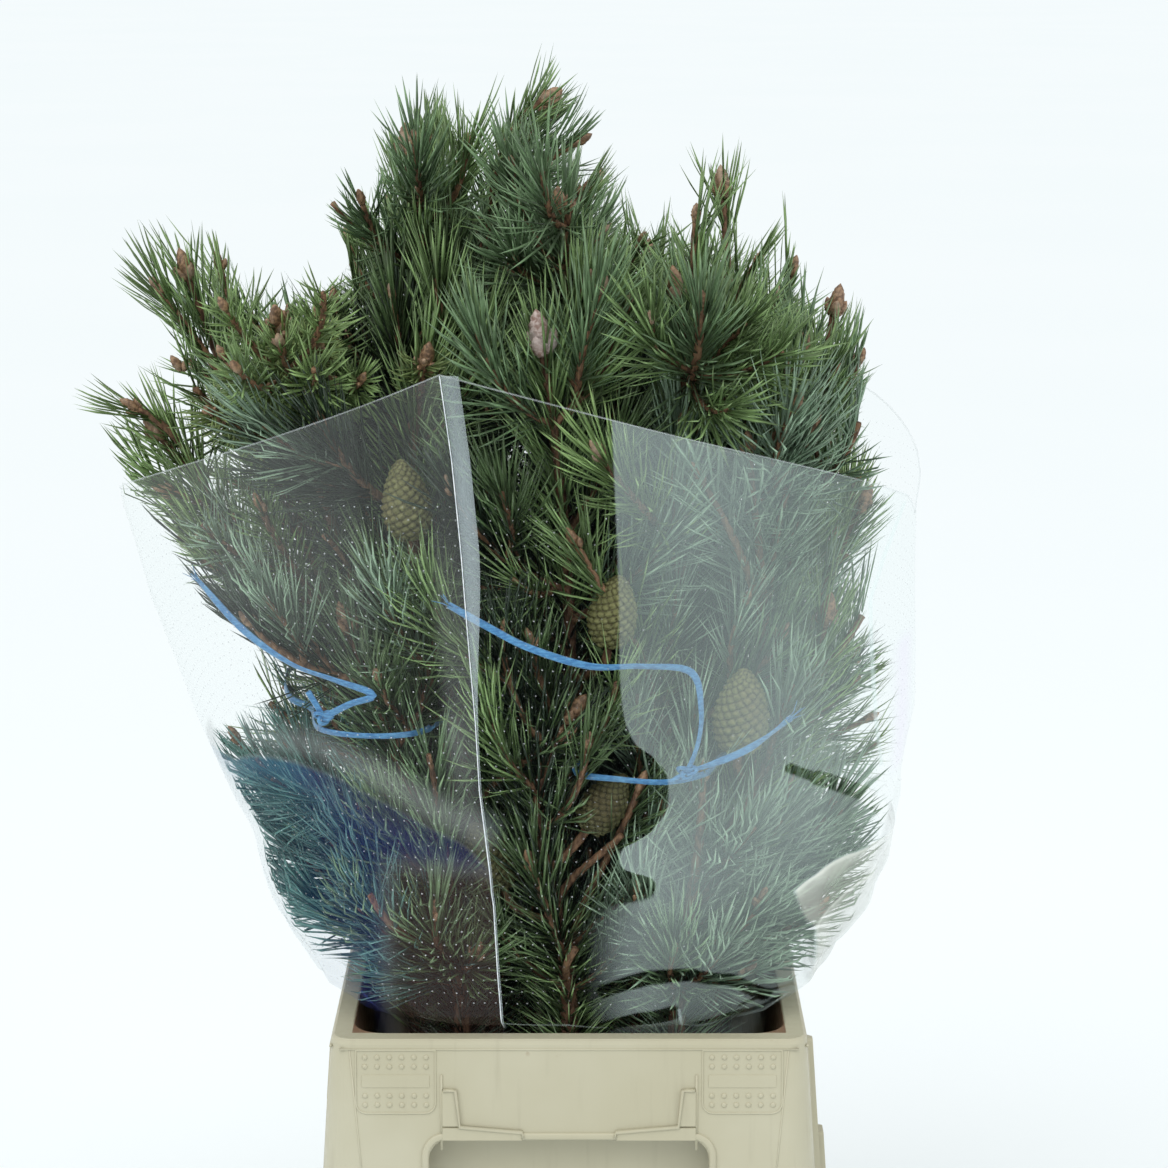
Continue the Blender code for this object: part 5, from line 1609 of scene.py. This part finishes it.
def ribbon(shape, path, half, thick, twist, closed=False):
    """A flat twine along a path, its flat side turned out from the bunch, with a slow twist."""
    centres = as_array(path)
    ahead = unit(np.gradient(centres, axis=0))
    out = np.stack([centres[:, 0] * 0.9, centres[:, 1], np.zeros(len(path))], 1)
    out -= ahead * (out * ahead).sum(axis=1)[:, None]
    out /= np.maximum(np.linalg.norm(out, axis=1), 1e-6)[:, None]
    wide = np.cross(ahead, out)
    turn = np.asarray(twist)[:, None]
    normal = out * np.cos(turn) + wide * np.sin(turn)
    across = wide * np.cos(turn) - out * np.sin(turn)
    rings = np.stack([centres + across * half * a + normal * thick * b for a, b in TWINE_SECTION], 1)
    shape.add_band(rings, "open" if closed else "capped")


def twine_finish():
    made = Finish("twine_fibre")
    fibre = made.noise(1.0, 4.0, stretch=(260.0, 260.0, 900.0))
    colour = made.mottled(fibre, (0.35, 0.68), made.noise(35.0, 2.0), (0.55, 0.85), 0.5,
                          (0.022, 0.135, 0.32), (0.075, 0.26, 0.48), (0.23, 0.44, 0.6))
    made.set(Base_Color=colour, Roughness=0.42, Specular_IOR_Level=0.55, Sheen_Weight=0.25)
    made.bump(fibre, 0.5, 0.0006)
    return made.material


def frayed_end(shape, rng, path):
    """A few hairs where a tail is cut."""
    heading = (path[-1] - path[-4]).normalized()
    for _ in range(7):
        aside = Vector(rng.normal(0.0, 1.0, 3))
        aside = (aside - heading * aside.dot(heading)).normalized()
        root = path[-1] - heading * 0.003 + aside * 0.0006
        reach = rng.uniform(0.006, 0.013)
        hair = [root, root + heading * reach * 0.5 + aside * reach * 0.1,
                root + heading * reach + aside * reach * rng.uniform(0.25, 0.5)]
        sweep(shape, hair, [0.00035, 0.0003, 0.00018], 4)


def build_twine():
    finish = twine_finish()
    rng = np.random.default_rng(SEED + 7)
    for name, tie in TIES.items():
        shape = Shape()
        loop, tails = tie_paths(tie)
        low, high = tie["shows"]
        middle = Vector(tie["middle"])
        for point in loop:
            outside = max(low - point.x, point.x - high, 0.0)
            inward = Vector((middle.x - point.x, middle.y - point.y, 0.0)).normalized()
            point += inward * min(LOOP_TUCK, outside * 2.0)
        path = spline(loop, 0.0025, closed=True)
        phase = np.linspace(0.0, 2 * math.pi, len(path))
        ribbon(shape, path, 0.0021, 0.00055, 0.45 * np.sin(3 * phase), closed=True)
        for end in tie["short_ends"]:
            path = spline(on_film_front(end, tie), 0.0022)
            ribbon(shape, path, 0.0019, 0.0005, 0.5 * np.sin(np.linspace(0.3, 2.0, len(path))))
        for tail in tails:
            path = spline(tail, 0.0022)
            ribbon(shape, path, 0.0022, 0.0005, 0.55 * np.sin(9.0 * np.linspace(0.0, 1.0, len(path)) + 0.7))
            frayed_end(shape, rng, path)
        knot_lump(shape, tie, loop)
        ride(shape.build(name + "_ribbon", finish, turned=True), "twine", name)


def knot_lump(shape, tie, loop):
    """A small pulled-tight knot where the loop and tails cross."""
    x, z = tie["knot"]
    centre = Vector((x, film_front(x, z, tie["inset"]) + 0.0008, z))
    steps = 54
    size = 0.00155
    path = []
    for i in range(steps + 1):
        t = 2 * math.pi * i / steps
        across = math.sin(t) + 2 * math.sin(2 * t)
        up = math.cos(t) - 2 * math.cos(2 * t)
        out = -math.sin(3 * t)
        path.append(centre + Vector((across * size * 1.25, out * size * 0.9, up * size * 0.85)))
    sweep(shape, path, [0.0013] * len(path), 7, flat=0.8)
    near = min(loop, key=lambda p: (p - centre).length)
    if (near - centre).length > 0.004:
        sweep(shape, [near, near.lerp(centre, 0.5), centre], [0.0014] * 3, 7)


# Boughs, twigs and buds

def bark_finish(name, dark, light, tip):
    made = Finish(name)
    plates = made.noise(1.0, 5.0, stretch=(420.0, 420.0, 150.0))
    colour = made.mottled(plates, (0.36, 0.66), made.noise(22.0, 3.0), (0.5, 0.75), 0.6, dark, light, tip)
    made.set(Base_Color=colour, Roughness=made.step(plates, 0.3, 0.7, 0.85, 0.55), Specular_IOR_Level=0.3)
    made.bump(plates, 0.8, 0.0006)
    return made.material


def build_boughs(curves, feet, stem_nodes):
    """The branches, whole from their cut foot to the leading bud, with the relief of old needle bases."""
    finish = bark_finish("bark_bough", (0.06, 0.03, 0.018), (0.19, 0.105, 0.06), (0.12, 0.06, 0.034))
    rng = np.random.default_rng(SEED + 2)
    shape = Shape()
    for foot, curve in zip(feet, curves):
        path = resample([foot, curve[0]], 0.014)[:-1] + resample(list(curve), 0.0036)
        gone = np.cumsum([0.0] + [(b - a).length for a, b in zip(path, path[1:])])
        entry = gone[next(i for i, p in enumerate(path) if p.z > ENTRY_HEIGHT)]
        radii = np.where(gone <= entry, blend(STEM_FOOT, STEM_TOP, gone / entry),
                         blend(STEM_TOP, 0.0022, (gone - entry) / (gone[-1] - entry)))
        sides = 9
        sweep(shape, path, radii, sides, bark_relief(rng, len(path), sides, 0.13))
    ride(shape.build("boughs", finish), "bark", *stem_nodes)


def build_twigs(shoots, spurs, foliage_nodes):
    finish = bark_finish("bark_twig", (0.085, 0.046, 0.028), (0.23, 0.13, 0.07), (0.29, 0.17, 0.095))
    rng = np.random.default_rng(SEED + 3)
    shape = Shape()
    for path, thick in shoots:
        sides, spacing = (7, 0.0042) if thick > 0.002 else (5, 0.0052)
        path = resample(path, spacing)
        radii = thick * np.linspace(1.12, 0.88 if thick < 0.003 else 0.45, len(path))
        radii[0] *= 1.15
        sweep(shape, path, radii, sides, bark_relief(rng, len(path), sides, 0.17))
    for spur in spurs:
        path = resample(spline(spur, 0.003), 0.003)
        sweep(shape, path, [0.0024] * len(path), 8, bark_relief(rng, len(path), 8, 0.14))
    ride(shape.build("twigs", finish), "bark", *foliage_nodes)


def add_bud(shape, rng, foot, ahead, length, half):
    """A pointed bud of overlapping scales."""
    rows, sides = 9, 8
    side = ahead.orthogonal().normalized()
    share = (np.arange(rows) + 0.15) / rows
    profile = np.sin(np.clip(0.16 + 0.84 * share, 0, 1) * math.pi) ** 0.75
    profile[0] = 0.62
    i = np.arange(rows)[:, None]
    j = np.arange(sides)[None, :]
    lap = 1.0 + 0.16 * ((i + j) % 2) + rng.uniform(-0.04, 0.04, (rows, sides))
    centres = np.array(foot) + np.array(ahead) * (share * length)[:, None]
    rings = round_rings(centres, np.array(side), np.array(ahead.cross(side)), half * profile[:, None] * lap,
                        turns(sides) + 0.3 * i)
    shape.add_tube(rings, foot, foot + ahead * length)


def bud_finish(name, dark, light, tip):
    made = Finish(name)
    scales = made.noise(420.0, 3.0)
    colour = made.mottled(scales, (0.38, 0.64), made.noise(60.0, 2.0), (0.5, 0.75), 0.6, dark, light, tip)
    made.set(Base_Color=colour, Roughness=0.48, Specular_IOR_Level=0.5)
    made.bump(scales, 0.6, 0.0005)
    return made.material


def build_buds(ends, foliage_nodes):
    """Buds at the shoot ends: a large one with smaller ones round it on the leaders."""
    rng = np.random.default_rng(SEED + 4)
    brown = Shape()
    pale = Shape()
    for number, (path, size, ring) in enumerate(ends):
        shape = pale if number == PALE_BUD else brown
        size = size * 1.35 if number == PALE_BUD else size
        ahead = (path[-1] - path[-2]).normalized()
        side = ahead.orthogonal().normalized()
        turn = rng.uniform(0.0, 2 * math.pi)
        add_bud(shape, rng, path[-1] - ahead * 0.0015, ahead, 0.0165 * size, 0.0037 * size)
        for k in range(ring):
            angle = turn + 2 * math.pi * k / max(ring, 1)
            out = side * math.cos(angle) + ahead.cross(side) * math.sin(angle)
            way = (ahead + out * 0.55).normalized()
            foot = path[-1] - ahead * 0.0025 + out * 0.0016
            add_bud(shape, rng, foot, way, 0.01 * size, 0.0026 * size)
    finish = bud_finish("bud_scales", (0.13, 0.074, 0.04), (0.34, 0.205, 0.115), (0.45, 0.36, 0.27))
    ride(brown.build("buds", finish), "bark", *foliage_nodes)
    finish = bud_finish("bud_scales_pale", (0.26, 0.16, 0.13), (0.56, 0.45, 0.41),
                        (0.62, 0.56, 0.53))
    ride(pale.build("buds_pale", finish), "bark", *foliage_nodes)


# Cones

def build_cone(number, cone, finish):
    """A closed cone: a spiral of raised scales with grooves between them, on its stalk."""
    foot, top, way = cone_ends(cone)
    length, width = cone[3], cone[4]
    side = way.orthogonal().normalized()
    rows, columns, scales = 64, 78, 190
    share = (np.arange(rows) + 0.5) / rows
    profile = np.sin(math.pi * np.minimum(1.0, 0.1 + 0.9 * share) ** 0.8) ** 0.7
    radius = width * 0.93 * profile
    turn = turns(columns)
    middle_share = ((np.arange(scales) + 0.5) / scales) ** 0.94
    middle_turn = np.arange(scales) * GOLDEN
    gap_turn = (turn[None, :, None] - middle_turn + math.pi) % (2 * math.pi) - math.pi
    gap_along = (share[:, None, None] - middle_share) * length
    gaps = np.sqrt((gap_turn * radius[:, None, None]) ** 2 + (gap_along * 1.25) ** 2)
    rng = np.random.default_rng(SEED + 20 + number)
    own = rng.uniform(-0.0004, 0.0005, scales)[gaps.argmin(axis=2)]
    gaps.sort(axis=2)
    first, second = gaps[:, :, 0], gaps[:, :, 1]
    plate = 1.0 - np.exp(-(second - first) / 0.001)
    dome = np.clip(1.0 - first / 0.0032, 0.0, 1.0)
    rough = rng.uniform(-0.00016, 0.00016, first.shape)
    lift = (0.0008 * plate + 0.0016 * dome + own * plate + rough) * (width / 0.0145)
    centres = np.array(foot) + np.array(way) * (share * length)[:, None]
    shape = Shape()
    shape.add_tube(round_rings(centres, np.array(side), np.array(way.cross(side)),
                               radius[:, None] + lift - 0.0008, turn), foot, top)
    piece = shape.build(f"cone_{number + 1}_scales", finish)
    level = np.concatenate([(0.75 * plate + 0.25 * dome).ravel(), [0.0, 1.0]])
    grooves = piece.data.attributes.new("grooves", "FLOAT", "POINT")
    grooves.data.foreach_set("value", level.astype(np.float32))
    ride(piece, "cone", f"cone_{number + 1}")


def cone_finish(name, level):
    made = Finish(name)

    def shade(*colour):
        return tuple(level * value for value in colour)

    grooves = made.node("Attribute", attribute_name="grooves").outputs["Fac"]
    grain = made.noise(330.0, 4.0)
    face = made.mottled(grain, (0.35, 0.68), made.noise(30.0, 2.0), (0.48, 0.75), 0.5,
                        shade(0.125, 0.125, 0.046), shade(0.2, 0.2, 0.08), shade(0.15, 0.105, 0.048))
    colour = made.mix(made.step(grooves, 0.15, 0.8), shade(0.06, 0.052, 0.022), face)
    made.set(Base_Color=colour, Roughness=0.72, Specular_IOR_Level=0.35)
    made.bump(grain, 0.4, 0.0005)
    return made.material


# Stage

def build_stage():
    """A plain pale floor, a bright sky, a soft light from above and two from the front."""
    scene = bpy.context.scene
    turn = turns(FLOOR_SIDES)
    reach = FLOOR_RADIUS
    rim = np.stack([reach * np.cos(turn), reach * np.sin(turn), np.full(FLOOR_SIDES, FLOOR_LEVEL)], 1)
    j = np.arange(FLOOR_SIDES)
    floor = Shape()
    floor.add(np.vstack([rim, [[0.0, 0.0, FLOOR_LEVEL]]]),
              tris=np.stack([np.full(FLOOR_SIDES, FLOOR_SIDES), j, (j + 1) % FLOOR_SIDES], 1))
    pale = Finish("studio_floor")
    cloud = pale.step(pale.noise(0.8, 2.0), 0.3, 0.7)
    pale.set(Base_Color=pale.mix(cloud, (0.88, 0.925, 0.93), (0.89, 0.93, 0.935)), Roughness=0.9,
             Specular_IOR_Level=0.0)
    floor.build("floor", pale.material)
    world = bpy.data.worlds.new("studio")
    world.use_nodes = True
    back = world.node_tree.nodes["Background"]
    back.inputs["Color"].default_value = (0.965, 0.985, 1.0, 1.0)
    back.inputs["Strength"].default_value = 0.74
    scene.world = world
    sun = bpy.data.objects.new("top_light", bpy.data.lights.new("top_light", "SUN"))
    sun.data.energy = 1.15
    sun.data.angle = math.radians(50.0)
    sun.rotation_euler = (math.radians(28.0), math.radians(-14.0), 0.0)
    scene.collection.objects.link(sun)
    for name, place in (("soft_left", (-1.5, -1.5, 1.6)), ("soft_right", (1.7, -1.2, 1.5))):
        light = bpy.data.objects.new(name, bpy.data.lights.new(name, "AREA"))
        light.data.energy = 9.0
        light.data.size = 0.9
        light.location = place
        aim = Vector((0.0, 0.0, 0.55)) - Vector(place)
        light.rotation_euler = aim.to_track_quat("-Z", "Y").to_euler()
        scene.collection.objects.link(light)
    camera = bpy.data.objects.new("camera", bpy.data.cameras.new("camera"))
    camera.data.lens = 100.0
    camera.data.sensor_width = 36.0
    camera.location = CAMERA_PLACE
    camera.rotation_euler = (math.radians(90.0 - 12.0), 0.0, 0.0)
    scene.collection.objects.link(camera)
    scene.camera = camera
    scene.view_settings.view_transform = "Standard"
    scene.view_settings.look = "None"


# Needles by branch, and the whole

def needle_finishes():
    made = {}
    for tone, colour in TONES.items():
        finish = Finish("needle_" + tone)
        gloss = finish.step(finish.noise(90.0, 2.0), 0.3, 0.7, 0.34, 0.5)
        dark, light = (tuple(level * value for value in colour) for level in (0.64, 1.38))
        shade = finish.mix(finish.step(finish.noise(48.0, 2.0), 0.34, 0.66), dark, light)
        finish.set(Base_Color=shade, Roughness=gloss, Specular_IOR_Level=0.5)
        made[tone] = finish.material
    return made


def half_way(path):
    return np.array([tuple(path[len(path) // 2])])


def spray_tone(rng, path, first, second, share):
    """Tone of one spray: its branch's two tones, or a paler sage behind the film's veiled panels as painted
    reflected light, or deep and dim tones far inside and in the middle as painted shade.
    """
    middle = half_way(path)
    room = film_room(middle)[0]
    x, y, z = middle[0]
    roll = rng.uniform()
    for here, most, tone in (
            (y < -0.02 and x > 0.03 and room < 0.075, 0.8, "sage"),
            (y < -0.02 and x < -0.085 and z > 0.55 and room < 0.06, 0.4, "sage"),
            (x < -0.105 and z < 0.54 and y < 0.08, 0.75, "teal"),
            (abs(x + 0.01) < 0.05 and z < 0.63 and y > -0.135, 0.85, "deep"),
            (-0.06 < x < 0.03 and z < 0.56, 0.75, "dim"),
            (-0.122 < x < -0.068 and 0.48 < z < 0.63 and y < -0.02, 0.6, "dim"),
            (-0.155 < x < -0.085 and 0.66 < z < 0.745, 0.75, "deep"),
            (-0.06 < x < 0.028 and 0.55 < z < 0.72, 0.35, "dim"),
            (-0.06 < x < 0.028 and 0.55 < z < 0.72, 0.75, "deep"),
            (0.06 < room < 1.0 and z < 0.7, 0.75, "deep")):
        if here and roll < most:
            return tone
    return second if rng.uniform() < share else first


def seen_part(path):
    """The part of a shoot that isn't seen beyond the foliage's sides."""
    beyond = in_sky(as_array(path), 0.004)
    return path[:max(int(beyond.argmax()), 3)] if beyond.any() else path


def is_deep(path):
    """True for a shoot far inside the film or at the back, where its needles can be plainer."""
    middle = half_way(path)
    return film_room(middle)[0] > 0.035 and middle[0, 2] < 0.66 or middle[0, 1] > 0.09


def twine_places():
    """Points along the twine, and those of them that show from the front."""
    cloud = []
    front = []
    for tie in TIES.values():
        loop, tails = tie_paths(tie)
        for path, (low, high) in [(loop + loop[:1], tie["shows"])] + [(tail, (-1.0, 1.0)) for tail in tails]:
            cloud.append(as_cloud(path))
            fine = as_cloud(path, 0.0015)
            front.append(fine[(fine[:, 1] < -0.05) & (fine[:, 0] > low) & (fine[:, 0] < high)])
    return np.vstack(cloud), np.vstack(front)


def bud_ends(curves, grown, accents, fine):
    """Shoots that end in a bud, with the bud's size and how many smaller ones stand round it."""
    ends = [(curve, 1.2, 3) for curve in curves]
    ends += [(path, 0.75, 1) for paths in grown for path in paths if not in_sky(as_cloud(path)[-1:])[0]]
    ends += [(path, BUD_SIZES.get(accent[6], 0.8), 2) for path, accent in zip(accents, ACCENTS)
             if accent[5] != "teal" and accent[6] != "bare"]
    rng = random.Random(SEED + 8)
    for path in [path for paths in fine for path in paths]:
        outside = film_room(as_array(path[-1:]))[0] > 0.9
        if rng.random() < (0.6 if outside else 0.25):
            ends.append((path, 0.72, 0))
    return ends


def branch_needles(needles, number, foot, curve, grown, fine):
    """Needles of one branch: its leader, the filling of its stem, its skirt at the rim and its shoots."""
    rng = np.random.default_rng(SEED * 1000 + number)
    first, second, share = BRANCH_TONES[number]
    total = path_length(curve)
    lengths, splay = ROSETTE_BRANCH if number == 0 else (NEEDLE_LENGTH, NEEDLE_SPLAY)
    thin = THIN.get(number, 1.0) ** 0.5
    bare = max(total - LEADER, 0.03)
    shoot_needles(needles, rng, list(curve), bare, first, lengths, splay, PAIR_STEP * thin)
    whole = [foot] + list(curve)
    steep = (curve[0] - foot).length / (curve[0].z - foot.z)
    low = (curve[0] - foot).length * (FILL_FROM - foot.z) / (curve[0].z - foot.z)
    # Painted shade: the needles that fill the stems are mostly in the deep tone, and so are the skirts of
    # branches away from the front
    tone = "deep" if curve[10].y > -0.09 else spray_tone(rng, curve[8:14], "deep", second, share)
    shoot_needles(needles, rng, whole, low, tone, NEEDLE_LENGTH, FILL_SPLAY, FILL_STEP, 0.003, "plain",
                  min(LEADER, total - 0.03))
    skirt = [(height - foot.z) * steep for height in SKIRT_RISE]
    shoot_needles(needles, rng, whole, skirt[0], second if curve[0].y < -0.08 else "deep", NEEDLE_LENGTH,
                  SKIRT_SPLAY, SKIRT_STEP, 0.003, "plain", path_length(whole) - skirt[1])
    for path in grown:
        tone = spray_tone(rng, path, first, second, share)
        shoot_needles(needles, rng, path, 0.012, tone, lengths, splay, PAIR_STEP * thin)
    for path in fine:
        tone = spray_tone(rng, path, first, second, share)
        kind, step = ("plain", PLAIN_PAIR_STEP) if is_deep(path) else ("bent", FINE_PAIR_STEP)
        shoot_needles(needles, rng, path, 0.006, tone, lengths, splay, step * thin, 0.0016, kind)


def build_branches():
    """Boughs, twigs, buds, cones and needles."""
    twine_cloud, front = twine_places()
    feet, curves = zip(*(branch_path(branch) for branch in BRANCHES))
    grown = grow_shoots(curves, twine_cloud)
    accents = [accent_path(accent, curves[accent[0]]) for accent in ACCENTS]
    fine = grow_fine(curves, grown, accents, twine_cloud)
    fine = [[path for path in paths if not in_sky(as_cloud(path, 0.007)[5:]).any()] for paths in fine]
    stem_nodes = [f"stem_{n + 1:02d}" for n in range(len(BRANCHES))]
    foliage_nodes = [f"foliage_{n + 1:02d}" for n in range(len(BRANCHES))]
    build_boughs(curves, feet, stem_nodes)
    entries = [next(i for i, p in enumerate(c) if p.z > ENTRY_HEIGHT) for c in curves]
    spurs = [cone_spur(cone, curves[cone[0]][entries[cone[0]] + 1:]) for cone in CONES]
    shoots = [(seen_part(path), 0.0022) for paths in grown for path in paths]
    shoots += [(path, STYLES[accent[6]][3]) for path, accent in zip(accents, ACCENTS)]
    shoots += [(path, 0.0018) for paths in fine for path in paths]
    build_twigs(shoots, spurs, foliage_nodes)
    ends = bud_ends(curves, grown, accents, fine)
    build_buds(ends, foliage_nodes)
    finishes = [cone_finish("cone_scale", 1.0), cone_finish("cone_shaded", 0.5)]
    for number, cone in enumerate(CONES):
        build_cone(number, cone, finishes[number in SHADED_CONES])
    needles = {(tone, kind): [] for tone in TONES for kind in NEEDLE_RINGS}
    for number, branch in enumerate(zip(feet, curves, grown, fine)):
        branch_needles(needles, number, *branch)
    rng = np.random.default_rng(SEED + 6)
    for path, (_, _, _, _, bare, tone, style) in zip(accents, ACCENTS):
        lengths, splay, step, thick = STYLES[style]
        if lengths:
            shoot_needles(needles, rng, path, bare, tone, lengths, splay, step, thick)
    large = [path[-1] + (path[-1] - path[-2]).normalized() * 0.008 for path, size, _ in ends if size > 0.9]
    build_needles(needles, twine_cloud, front, as_array(large), foliage_nodes)


build_stage()
build_bucket()
build_film()
build_seam()
build_edges()
build_pinholes()
build_twine()
build_branches()
